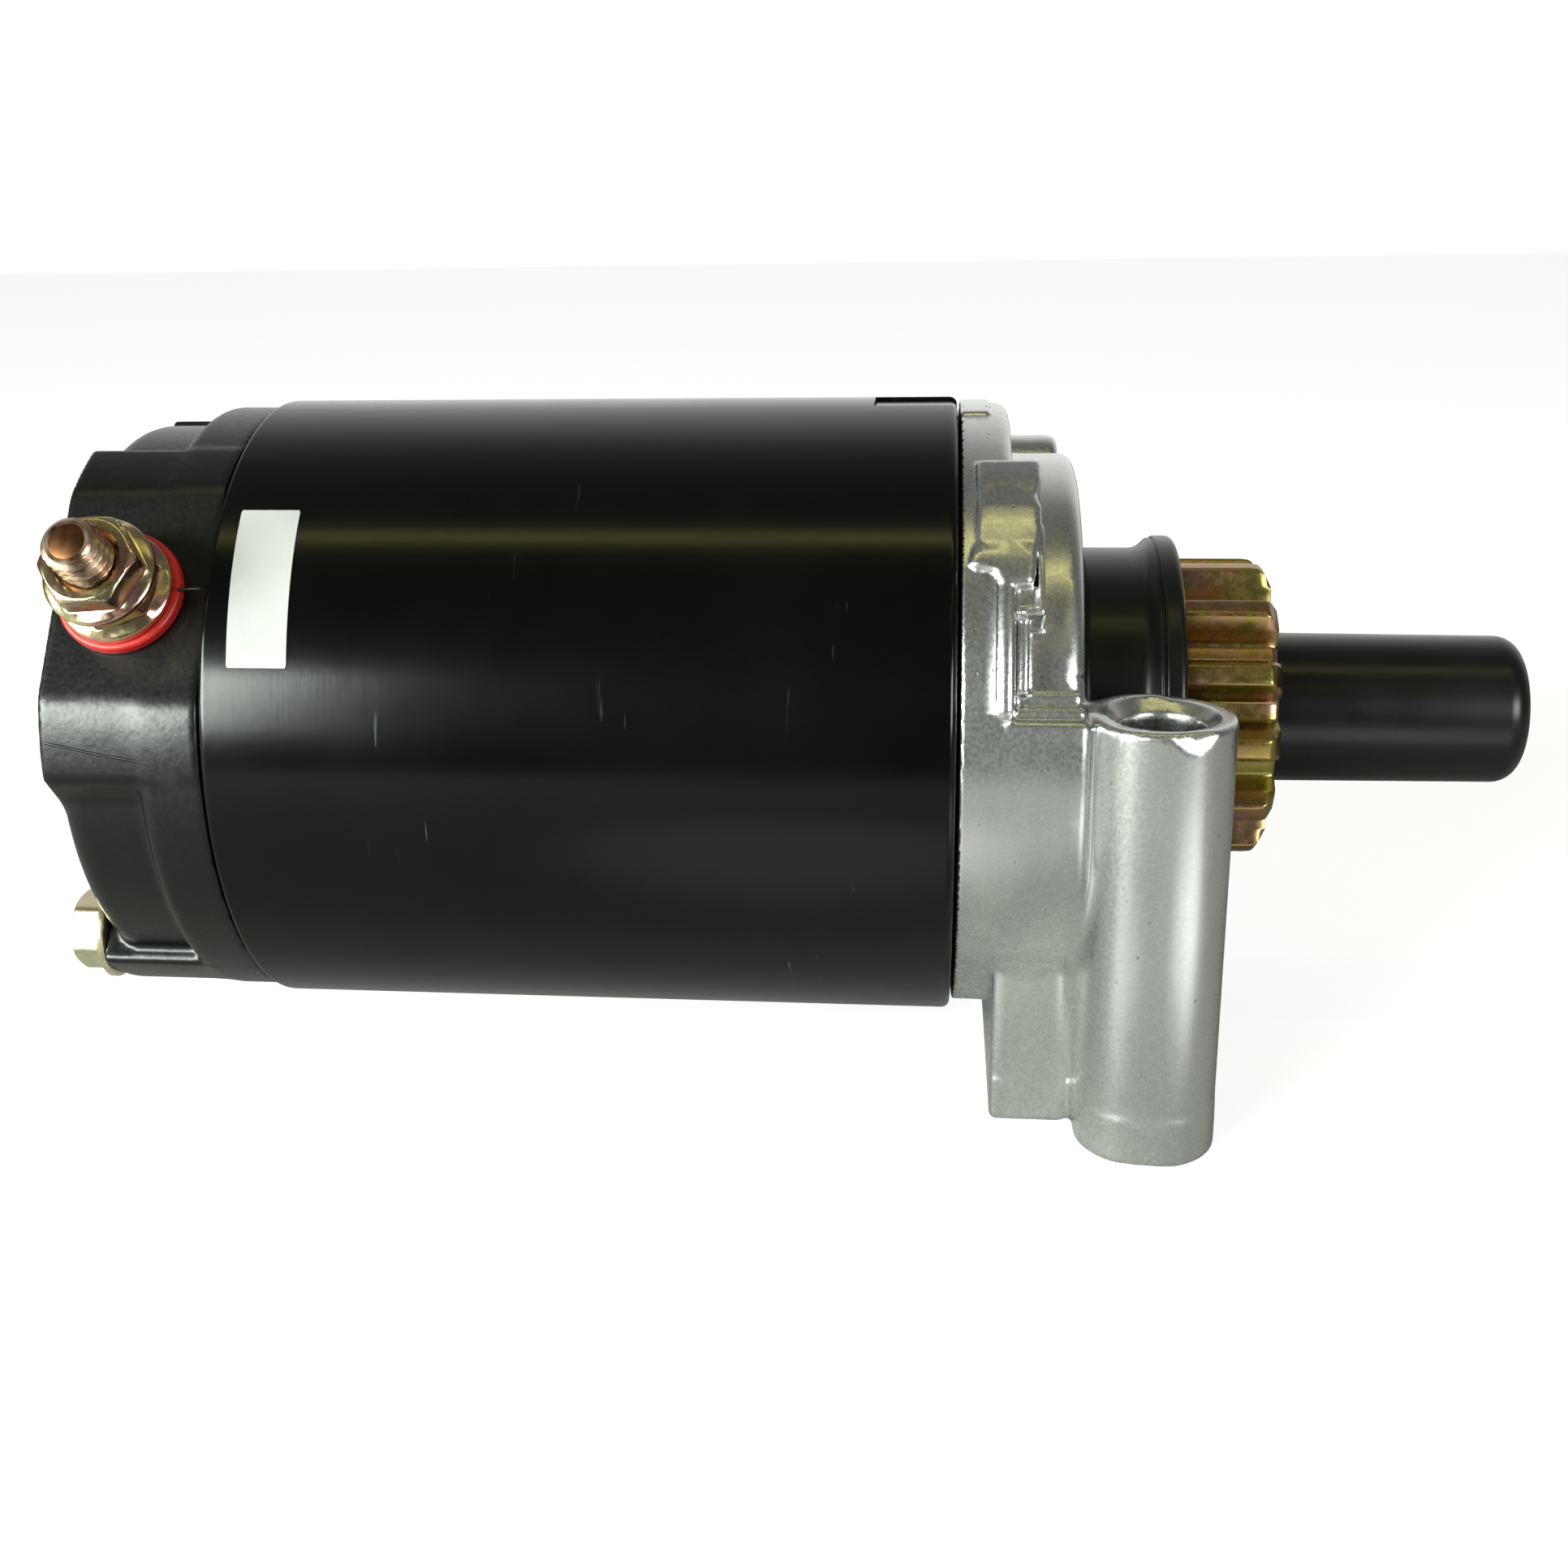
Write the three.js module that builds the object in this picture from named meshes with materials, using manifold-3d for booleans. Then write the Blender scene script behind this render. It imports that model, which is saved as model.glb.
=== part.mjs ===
// Small permanent-magnet starter motor with an inertia drive, in millimetres.
//
// The model group has X along the armature shaft, towards the pinion, with the shaft axis at y = z = 0
// and x = 0 near the front rim of the frame tube. The exported group shifts it so that the origin is the
// centre of the casting's foot pad, with +Z up along the two mounting tubes.
// An angle round the shaft is counted in degrees from -Y (0) towards +Z (90).

import * as THREE from 'three';
import { mergeVertices } from 'three/addons/utils/BufferGeometryUtils.js';
import Module from 'manifold-3d';

const wasm = await Module();
wasm.setup();

// ---- driving dimensions -------------------------------------------------------------------------

const GAP = 0.3;                 // clearance between pieces that touch
const ROUND = 40;                // sides of a large round piece
const SMALL = 20;                // sides of a small round piece

const FRAME = { rear: -82.9, front: 0.9, outer: 38.1, inner: 34.9 };
const MAGNET = { rear: -70, front: -10, inner: 28.4, span: 62 };
const MAGNET_ANGLES = [-10, 80, 170, 260];

const BOLT = { angles: [-55, 125], circle: 31.6, shank: 2.5, hole: 2.8, tip: 11, seat: -103.6, head: -108.8 };
const BOLT_HEAD = { flange: 6, flangeThick: 1.1, acrossFlats: 9 };

const CAP = { skirt: 37.3, drum: 35, step: -91, rear: -102, cavity: 32.5, floor: -99.5, lobeRear: -102 };
const LOBE_SPAN = [0, 68];
const LUG_HALF_ANGLE = 12;
const REAR_BUSHING = { rear: -101.2, front: -94.2, inner: 5.2, outer: 7.7 };

const TERMINAL = { x: -93.6, angle: 35, seat: 35, tip: 50.2, thread: 3.175 };
const INSULATOR = { radius: 7.3, thick: 1.3 };
const NUTS = [
  { name: 'terminal_nut_inner', low: 36.9, flange: 6.6, flangeThick: 1.3, high: 41.2 },
  { name: 'terminal_nut_outer', low: 41.5, flange: 6.4, flangeThick: 1.0, high: 45.6 },
];
const NUT_ACROSS_FLATS = 10;

const SHAFT = { rear: -101, shoulder: -92.7, step: 19.5, tail: 54, tip: 66 };
const SHAFT_RADIUS = { journal: 5, main: 6, root: 4.9, tail: 4.6 };
const SPLINE = { starts: 4, lead: 80, outer: 5.8, lobeHalf: 20, rootHalf: 20 };
const CORE = { rear: -64, front: -16, radius: 27.2, slots: 16, slotWidth: 4.6, slotFloor: 17.5 };
const COMMUTATOR = { rear: -92.2, front: -76.5, radius: 15, inner: 9.3, bars: 24, slot: 0.7, slotDepth: 2.2 };

const BRUSH = { angles: [-10, 80, 170, 260], rear: -90.9, front: -84, width: 9, inner: 15.3, outer: 25 };
const PLATE = { rear: -82.5, front: -81, outer: 32.2, inner: 17.5, wall: 1, boxOuter: 31.9, boxInner: 18.4 };
const BRUSH_SPRING = { radius: 2.4, wire: 0.35, turns: 3 };
const LEAD = { radius: 0.8, exit: 21.5, plane: -94.4, crossingPlane: -97 };

const CASTING = { seat: 1.2, skirt: 37.3, skirtFront: 7, nose: 31.2, front: 15, spigot: -2.5, cavity: 28 };
const WALL = { radius: 37, top: 8.5 };
const FOOT = { rear: 5.6, front: 14.3, halfWidth: 29, bottom: -43, top: -20 };
const TUBE = { x: 23.2, y: 31, outer: 8, bore: 4.7, chamfer: 6, top: 8 };
const FRONT_BUSHING = { rear: 7.2, front: 15, inner: 6.2, outer: 8 };

const CUP = { rear: 15.6, floor: 18.6, outer: 19.6, inner: 18, flareFrom: 24, rim: 27.4, rimOuter: 21.1 };
const PINION = { teeth: 13, tip: 18.4, root: 14.4, hub: 13.5, rear: 19.5, toothRear: 25.5, front: 38.6 };
const COVER = { mouth: 38.9, tip: 69.2, outer: 9.15, outerTip: 8.95, wall: 1.4, round: 2.8 };
const SPACER = { front: 42, inner: 6.3 };
const STOP = { rear: 62, front: 63.4, outer: 7.3 };
const DRIFT_SPRING = { radius: 6.8, wire: 0.5, turns: 5 };

const LABEL = { rear: -80.1, front: -72.7, from: 20.7, to: 49.6, inner: 38.3, outer: 38.55 };

// ---- materials ----------------------------------------------------------------------------------

function finish(color, roughness, metalness) {
  return new THREE.MeshStandardMaterial({ color, roughness, metalness });
}

const MATERIAL = {
  blackPaint: finish(0x0b0c0d, 0.35, 0.1),
  castAluminium: finish(0xb4b8ba, 0.45, 0.9),
  yellowZinc: finish(0xc2a045, 0.3, 0.9),
  coppery: finish(0x8c6a52, 0.4, 0.9),
  steel: finish(0x9a9c9f, 0.35, 0.9),
  copper: finish(0xb5693b, 0.35, 0.9),
  ferrite: finish(0x3a3b3d, 0.7, 0.1),
  lamination: finish(0x5c5e61, 0.5, 0.8),
  bronze: finish(0x9c7a45, 0.5, 0.8),
  carbon: finish(0x2c2a29, 0.8, 0.1),
  phenolic: finish(0x3b261a, 0.6, 0),
  redPlastic: finish(0xb3261c, 0.45, 0),
  blackPlastic: finish(0x0c0d10, 0.3, 0),
  rubber: finish(0x151515, 0.85, 0),
  label: finish(0xf2f2ee, 0.6, 0),
};

// ---- helpers ------------------------------------------------------------------------------------

const radians = THREE.MathUtils.degToRad;

// Turns shape x, y and extrusion z into model y, z and x.
const ALONG_X = new THREE.Matrix4().makeBasis(
  new THREE.Vector3(0, 1, 0), new THREE.Vector3(0, 0, 1), new THREE.Vector3(1, 0, 0));

// A point at a radius and an angle round the shaft, as model y and z.
function polar(radius, angle) {
  return new THREE.Vector2(-radius * Math.cos(radians(angle)), radius * Math.sin(radians(angle)));
}

// A body of revolution about X from [x, radius] points; a profile off the axis closes on itself.
function revolve(points, sides = ROUND) {
  const profile = points.map(([x, radius]) => new THREE.Vector2(radius, x));
  if (THREE.ShapeUtils.area(profile) < 0) profile.reverse();
  if (points[0][1] > 0) profile.push(profile[0].clone());
  return new THREE.LatheGeometry(profile, sides).rotateZ(-Math.PI / 2);
}

function ring(rear, front, inner, outer, sides = ROUND) {
  return revolve([[rear, inner], [front, inner], [front, outer], [rear, outer]], sides);
}

function rod(rear, front, radius, sides = SMALL) {
  return revolve([[rear, 0], [rear, radius], [front, radius], [front, 0]], sides);
}

// A prism along X from a shape drawn in model y and z.
function prism(shape, rear, front, steps = 1) {
  const geometry = new THREE.ExtrudeGeometry(shape, {
    depth: front - rear, steps, bevelEnabled: false, curveSegments: SMALL });
  return geometry.applyMatrix4(ALONG_X).translate(rear, 0, 0);
}

// A block of a ring between two angles round the shaft.
function sector(from, to, inner, outer, rear, front, sides = 8) {
  const points = [];
  for (let i = 0; i <= sides; i += 1) points.push(polar(outer, from + (to - from) * i / sides));
  for (let i = sides; i >= 0; i -= 1) points.push(polar(inner, from + (to - from) * i / sides));
  return prism(new THREE.Shape(points), rear, front);
}

function hexagon(acrossFlats) {
  const points = [];
  for (let i = 0; i < 6; i += 1) points.push(polar(acrossFlats / Math.sqrt(3), 60 * i));
  return new THREE.Shape(points);
}

function block(x0, x1, y0, y1, z0, z1) {
  const geometry = new THREE.BoxGeometry(x1 - x0, y1 - y0, z1 - z0);
  return geometry.translate((x0 + x1) / 2, (y0 + y1) / 2, (z0 + z1) / 2);
}

// Moves geometry built along +Z at the shaft axis out to face an angle round the shaft.
function facing(geometry, angle) {
  return geometry.rotateX(Math.PI / 2 - radians(angle));
}

// A closed tube of round section along a curve.
function wire(curve, radius, steps, sides = 5) {
  const points = [];
  for (let i = 0; i < sides; i += 1) {
    const turn = 2 * Math.PI * i / sides;
    points.push(new THREE.Vector2(radius * Math.cos(turn), radius * Math.sin(turn)));
  }
  return new THREE.ExtrudeGeometry(new THREE.Shape(points), { steps, bevelEnabled: false, extrudePath: curve });
}

// A helix about X.
class Helix extends THREE.Curve {
  constructor(radius, rear, front, turns) {
    super();
    Object.assign(this, { radius, rear, front, turns });
  }

  getPoint(t, target = new THREE.Vector3()) {
    const angle = 2 * Math.PI * this.turns * t;
    const x = this.rear + (this.front - this.rear) * t;
    return target.set(x, this.radius * Math.cos(angle), this.radius * Math.sin(angle));
  }
}

// A manifold solid from closed geometry, with its faces turned outwards.
function solid(geometry) {
  const bare = geometry.clone();
  bare.deleteAttribute('normal');
  bare.deleteAttribute('uv');
  const merged = mergeVertices(bare, 1e-4);
  const position = merged.attributes.position;
  const corner = [new THREE.Vector3(), new THREE.Vector3(), new THREE.Vector3()];
  const triangles = [];
  let volume = 0;
  for (let i = 0; i < merged.index.count; i += 3) {
    const [a, b, c] = [0, 1, 2].map((k) => merged.index.getX(i + k));
    if (a === b || b === c || c === a) continue;
    [a, b, c].forEach((vertex, k) => corner[k].fromBufferAttribute(position, vertex));
    volume += corner[0].dot(corner[1].cross(corner[2]));
    triangles.push(a, b, c);
  }
  if (volume < 0) triangles.reverse();
  return new wasm.Manifold(new wasm.Mesh({
    numProp: 3,
    vertProperties: new Float32Array(position.array),
    triVerts: new Uint32Array(triangles),
  }));
}

function geometryOf(manifold) {
  const mesh = manifold.getMesh();
  const geometry = new THREE.BufferGeometry();
  geometry.setAttribute('position', new THREE.BufferAttribute(mesh.vertProperties, 3));
  geometry.setIndex(new THREE.BufferAttribute(mesh.triVerts, 1));
  return geometry;
}

const join = (...pieces) => geometryOf(pieces.map(solid).reduce((whole, piece) => whole.add(piece)));
const cut = (body, ...tools) => geometryOf(tools.map(solid).reduce((rest, tool) => rest.subtract(tool), solid(body)));
const common = (a, b) => geometryOf(solid(a).intersect(solid(b)));

function add(parent, name, geometry, material) {
  const mesh = new THREE.Mesh(geometry, material);
  mesh.name = name;
  parent.add(mesh);
  return mesh;
}

// A group whose +Z faces an angle round the shaft.
function radialGroup(parent, angle) {
  const group = new THREE.Group();
  group.rotation.x = Math.PI / 2 - radians(angle);
  parent.add(group);
  return group;
}

// ---- frame and field ----------------------------------------------------------------------------

function addFrame(model) {
  add(model, 'frame_tube', ring(FRAME.rear, FRAME.front, FRAME.inner, FRAME.outer), MATERIAL.blackPaint);
  const label = sector(LABEL.from, LABEL.to, LABEL.inner, LABEL.outer, LABEL.rear, LABEL.front);
  add(model, 'blank_label', label, MATERIAL.label);
  const half = MAGNET.span / 2;
  MAGNET_ANGLES.forEach((angle, i) => {
    const tile = sector(angle - half, angle + half, MAGNET.inner, FRAME.inner - GAP - 0.1,
      MAGNET.rear, MAGNET.front, 12);
    add(model, `magnet_${i + 1}`, tile, MATERIAL.ferrite);
  });
}

// ---- commutator end cap -------------------------------------------------------------------------

function endCapGeometry() {
  const edge = 1.5;
  const spigotFront = FRAME.rear + 2.5;
  const seam = FRAME.rear - GAP;
  const spigot = FRAME.inner - GAP;
  const shell = revolve([
    [spigotFront, 0], [spigotFront, spigot], [seam, spigot], [seam, CAP.skirt],
    [CAP.step + edge, CAP.skirt], [CAP.step, CAP.skirt - edge], [CAP.step, CAP.drum],
    [CAP.rear + edge, CAP.drum], [CAP.rear, CAP.drum - edge], [CAP.rear, 0]]);
  const lobe = sector(LOBE_SPAN[0], LOBE_SPAN[1], CAP.cavity, CAP.skirt, CAP.lobeRear, seam - 1, 12);
  const lugs = BOLT.angles.map((angle) => sector(angle - LUG_HALF_ANGLE, angle + LUG_HALF_ANGLE,
    BOLT.circle - 6, CAP.skirt - 0.2, BOLT.seat, seam - 1, 4));
  const outside = join(shell, lobe, ...lugs);

  const boss = REAR_BUSHING.front;
  const cavity = revolve([
    [spigotFront + 1, 0], [spigotFront + 1, CAP.cavity], [CAP.floor, CAP.cavity],
    [CAP.floor, REAR_BUSHING.outer + 3], [boss, REAR_BUSHING.outer + 3], [boss, 0]]);
  const flat = facing(block(BOLT.seat - 1, seam + 1, -25, 25, TERMINAL.seat, TERMINAL.seat + 10), TERMINAL.angle);
  const bushingBore = rod(REAR_BUSHING.rear - GAP, boss + 1, REAR_BUSHING.outer + GAP);
  const studHole = facing(
    rod(25, 45, TERMINAL.thread + 1.4).rotateY(-Math.PI / 2).translate(TERMINAL.x, 0, 0), TERMINAL.angle);
  return cut(outside, cavity, flat, bushingBore, studHole, ...boltHoles(BOLT.seat - 1, spigotFront + 1));
}

function boltHoles(rear, front) {
  return BOLT.angles.map((angle) => {
    const centre = polar(BOLT.circle, angle);
    return rod(rear, front, BOLT.hole, SMALL).translate(0, centre.x, centre.y);
  });
}

function addEndCap(model) {
  add(model, 'end_cap', endCapGeometry(), MATERIAL.blackPaint);
  const { rear, front, inner, outer } = REAR_BUSHING;
  add(model, 'rear_bushing', ring(rear, front, inner, outer, SMALL), MATERIAL.bronze);
}

// ---- terminal -----------------------------------------------------------------------------------

// The terminal's pieces are built along X and stood up along the group's +Z.
function addTerminal(model) {
  const group = radialGroup(model, TERMINAL.angle);
  const upright = (geometry) => geometry.rotateY(-Math.PI / 2);
  const hole = TERMINAL.thread + GAP;
  const flange = 5.6;
  const flangeTop = 31.6;
  const flangeLow = flangeTop - 1;
  const headTop = flangeLow - GAP;
  const tipChamfer = 0.8;

  const stem = revolve([
    [headTop - 1, 0], [headTop - 1, TERMINAL.thread], [TERMINAL.tip - tipChamfer, TERMINAL.thread],
    [TERMINAL.tip, TERMINAL.thread - tipChamfer], [TERMINAL.tip, 0]], SMALL);
  const head = block(headTop - 2.2, headTop, -4, 4, -4, 4);
  const sleeve = revolve([
    [flangeLow, hole], [TERMINAL.seat, hole], [TERMINAL.seat, hole + 0.9], [flangeTop, hole + 0.9],
    [flangeTop, flange], [flangeLow, flange]], SMALL);
  const washerLow = TERMINAL.seat + GAP;
  const washer = ring(washerLow, washerLow + INSULATOR.thick, hole, INSULATOR.radius, SMALL);
  const pieces = [
    ['terminal_stud', join(stem, head), MATERIAL.coppery],
    ['terminal_sleeve', sleeve, MATERIAL.phenolic],
    ['terminal_insulator', washer, MATERIAL.redPlastic],
    ...NUTS.map((nut) => [nut.name, nutGeometry(nut, hole), MATERIAL.yellowZinc]),
  ];
  for (const [name, geometry, material] of pieces) {
    add(group, name, upright(geometry), material).position.x = TERMINAL.x;
  }
}

function nutGeometry(nut, hole) {
  const flange = rod(nut.low, nut.low + nut.flangeThick, nut.flange);
  const body = prism(hexagon(NUT_ACROSS_FLATS), nut.low, nut.high);
  return cut(join(flange, body), rod(nut.low - 1, nut.high + 1, hole));
}

// ---- through bolts ------------------------------------------------------------------------------

function addBolts(model) {
  const flangeFront = BOLT.seat - GAP;
  const flangeRear = flangeFront - BOLT_HEAD.flangeThick;
  BOLT.angles.forEach((angle, i) => {
    const geometry = join(
      rod(flangeRear, BOLT.tip, BOLT.shank, 16),
      rod(flangeRear, flangeFront, BOLT_HEAD.flange),
      prism(hexagon(BOLT_HEAD.acrossFlats), BOLT.head, flangeFront - 0.2));
    const centre = polar(BOLT.circle, angle);
    add(model, `through_bolt_${i + 1}`, geometry, MATERIAL.yellowZinc).position.set(0, centre.x, centre.y);
  });
}

// ---- brush gear ---------------------------------------------------------------------------------

function brushPlateGeometry() {
  const half = BRUSH.width / 2 + GAP;
  const outerHalf = half + PLATE.wall;
  const roof = BRUSH.rear - GAP - PLATE.wall;
  const disc = ring(PLATE.rear, PLATE.front, PLATE.inner, PLATE.outer);
  const boxes = BRUSH.angles.map((angle) => facing(
    block(roof, PLATE.rear + 0.5, -outerHalf, outerHalf, PLATE.boxInner, PLATE.boxOuter - 1), angle));
  const channels = BRUSH.angles.map((angle) => facing(
    block(BRUSH.rear - GAP, BRUSH.front + GAP, -half, half, 10, BRUSH.outer + 4.6), angle));
  const leadSlots = BRUSH.angles.map((angle) => facing(
    block(roof - 1, BRUSH.rear, -1.6, 1.6, PLATE.boxInner - 1, BRUSH.outer + 1), angle));
  return cut(join(disc, ...boxes), ...channels, ...leadSlots, ...boltHoles(PLATE.rear - 12, PLATE.front + 1));
}

// Each lead leaves its brush towards the end cap, crosses to its end point in a plane, and drops to it.
function leadCurve(from, to, plane, endX, endRadius) {
  const points = [[BRUSH.rear - GAP, LEAD.exit, from], [BRUSH.rear - 1.8, LEAD.exit, from]];
  const steps = Math.max(2, Math.round(Math.abs(to - from) / 18));
  for (let i = 1; i <= steps; i += 1) {
    const t = i / (steps + 1);
    points.push([plane, LEAD.exit + (endRadius - LEAD.exit) * t * t, from + (to - from) * t]);
  }
  points.push([endX - 1.2, endRadius, to], [endX, endRadius, to]);
  return new THREE.CatmullRomCurve3(points.map(([x, radius, angle]) => {
    const place = polar(radius, angle);
    return new THREE.Vector3(x, place.x, place.y);
  }));
}

function addBrushGear(model) {
  add(model, 'brush_plate', brushPlateGeometry(), MATERIAL.phenolic);
  const collar = rod(BRUSH.rear - 1, BRUSH.front + 1, BRUSH.inner, ROUND);
  const middle = (BRUSH.rear + BRUSH.front) / 2;
  const half = BRUSH.width / 2;
  const toStud = [TERMINAL.x, 29];
  const toPlate = [PLATE.rear - GAP, 27.5];
  const leads = [
    [-10, 24.5, LEAD.plane, ...toStud], [80, 108, LEAD.plane, ...toPlate],
    [170, 45.5, LEAD.crossingPlane, ...toStud], [260, 288, LEAD.plane, ...toPlate]];
  BRUSH.angles.forEach((angle, i) => {
    const group = radialGroup(model, angle);
    const bar = block(BRUSH.rear, BRUSH.front, -half, half, 8, BRUSH.outer);
    add(group, `brush_${i + 1}`, cut(bar, collar), MATERIAL.carbon);
    const coil = new Helix(BRUSH_SPRING.radius, BRUSH.outer + GAP + BRUSH_SPRING.wire,
      BRUSH.outer + 4.6 - GAP - BRUSH_SPRING.wire, BRUSH_SPRING.turns);
    const spring = wire(coil, BRUSH_SPRING.wire, BRUSH_SPRING.turns * 9).rotateY(-Math.PI / 2);
    add(group, `brush_spring_${i + 1}`, spring, MATERIAL.steel).position.x = middle;
    const [from, to] = leads[i];
    const lead = wire(leadCurve(...leads[i]), LEAD.radius, 10 + Math.round(Math.abs(to - from) / 9));
    add(model, `brush_lead_${i + 1}`, lead, MATERIAL.copper);
  });
}

// ---- armature -----------------------------------------------------------------------------------

// The spline's outline, grown by a clearance for the bore that runs on it.
function splineShape(clearance) {
  const points = [];
  const pitch = 360 / SPLINE.starts;
  const widen = THREE.MathUtils.radToDeg(clearance / SPLINE.outer);
  for (let start = 0; start < SPLINE.starts; start += 1) {
    for (const turn of [-1, 0, 1]) {
      points.push(polar(SPLINE.outer + clearance, pitch * start + turn * (SPLINE.lobeHalf + widen)));
    }
    for (const turn of [-1, 0, 1]) {
      const middle = pitch * (start + 0.5);
      points.push(polar(SHAFT_RADIUS.root - 0.1 + clearance, middle + turn * (SPLINE.rootHalf - widen)));
    }
  }
  return new THREE.Shape(points);
}

// A right-handed helical prism about X with the spline's lead.
function splinePrism(clearance, rear, front) {
  const steps = Math.ceil((front - rear) / 3.5);
  const geometry = prism(splineShape(clearance), rear, front, steps);
  const position = geometry.attributes.position;
  const axis = new THREE.Vector3(1, 0, 0);
  const point = new THREE.Vector3();
  for (let i = 0; i < position.count; i += 1) {
    point.fromBufferAttribute(position, i);
    point.applyAxisAngle(axis, 2 * Math.PI * point.x / SPLINE.lead);
    position.setXYZ(i, point.x, point.y, point.z);
  }
  return geometry;
}

function shaftGeometry() {
  const { journal, main, root, tail } = SHAFT_RADIUS;
  const groove = [STOP.front + 0.2, STOP.front + 1.4];
  const turned = revolve([
    [SHAFT.rear, 0], [SHAFT.rear, journal - 0.5], [SHAFT.rear + 0.5, journal], [SHAFT.shoulder, journal],
    [SHAFT.shoulder, main], [SHAFT.step, main], [SHAFT.step, root], [SHAFT.tail, root], [SHAFT.tail, tail],
    [groove[0], tail], [groove[0], tail - 0.7], [groove[1], tail - 0.7], [groove[1], tail],
    [SHAFT.tip - 0.6, tail], [SHAFT.tip, tail - 0.6], [SHAFT.tip, 0]], SMALL);
  return join(turned, splinePrism(0, SHAFT.step + 0.5, SHAFT.tail));
}

// A round outline with straight-sided slots cut into it.
function slottedShape(radius, count, width, floor, facesBetween) {
  const points = [];
  const pitch = 360 / count;
  const mouth = THREE.MathUtils.radToDeg(Math.asin(width / 2 / radius));
  const base = THREE.MathUtils.radToDeg(Math.asin(width / 2 / floor));
  for (let i = 0; i < count; i += 1) {
    const centre = pitch * i;
    points.push(polar(radius, centre - mouth), polar(floor, centre - base));
    points.push(polar(floor, centre + base), polar(radius, centre + mouth));
    for (let k = 1; k <= facesBetween; k += 1) {
      points.push(polar(radius, centre + mouth + (pitch - 2 * mouth) * k / (facesBetween + 1)));
    }
  }
  return new THREE.Shape(points);
}

function withBore(shape, radius) {
  shape.holes.push(new THREE.Path().absarc(0, 0, radius, 0, 2 * Math.PI));
  return shape;
}

// Rounded end turns at both ends of the core, joined by a bar in every slot.
function windingGeometry() {
  const outer = CORE.radius - 1;
  const bars = [];
  for (let i = 0; i < CORE.slots; i += 1) {
    const width = CORE.slotWidth / 2 - GAP;
    const bar = block(CORE.rear - 2, CORE.front + 2, -width, width, CORE.slotFloor + GAP, outer - 0.4);
    bars.push(facing(bar, 360 * i / CORE.slots));
  }
  const endTurns = (near, far, inner) => revolve([
    [near, inner], [far, inner + 1.5], [far, outer - 5], [(near + far) / 2, outer - 1], [near, outer]]);
  const front = endTurns(CORE.front + GAP, CORE.front + 11, SHAFT_RADIUS.main + 3);
  const rear = endTurns(CORE.rear - GAP, CORE.rear - 11, SHAFT_RADIUS.main + 4);
  return join(front, rear, ...bars);
}

function addArmature(model) {
  const bore = SHAFT_RADIUS.main + GAP;
  add(model, 'armature_shaft', shaftGeometry(), MATERIAL.steel);
  const core = withBore(slottedShape(CORE.radius, CORE.slots, CORE.slotWidth, CORE.slotFloor, 1), bore);
  add(model, 'armature_core', prism(core, CORE.rear, CORE.front), MATERIAL.lamination);
  add(model, 'armature_winding', windingGeometry(), MATERIAL.copper);
  const { rear, front, radius, inner, bars, slot, slotDepth } = COMMUTATOR;
  const copperBars = withBore(slottedShape(radius, bars, slot, radius - slotDepth, 0), inner);
  add(model, 'commutator', prism(copperBars, rear, front), MATERIAL.copper);
  add(model, 'commutator_hub', ring(rear, front, bore, inner - GAP, SMALL), MATERIAL.phenolic);
  const rearWasher = ring(REAR_BUSHING.front + GAP, SHAFT.shoulder - GAP, SHAFT_RADIUS.journal + 0.2, 9, SMALL);
  add(model, 'thrust_washer_rear', rearWasher, MATERIAL.bronze);
  const frontWasher = ring(FRONT_BUSHING.rear - 1.7, FRONT_BUSHING.rear - 0.5, bore, 10.5, SMALL);
  add(model, 'thrust_washer_front', frontWasher, MATERIAL.bronze);
}

// ---- drive-end casting --------------------------------------------------------------------------

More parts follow.
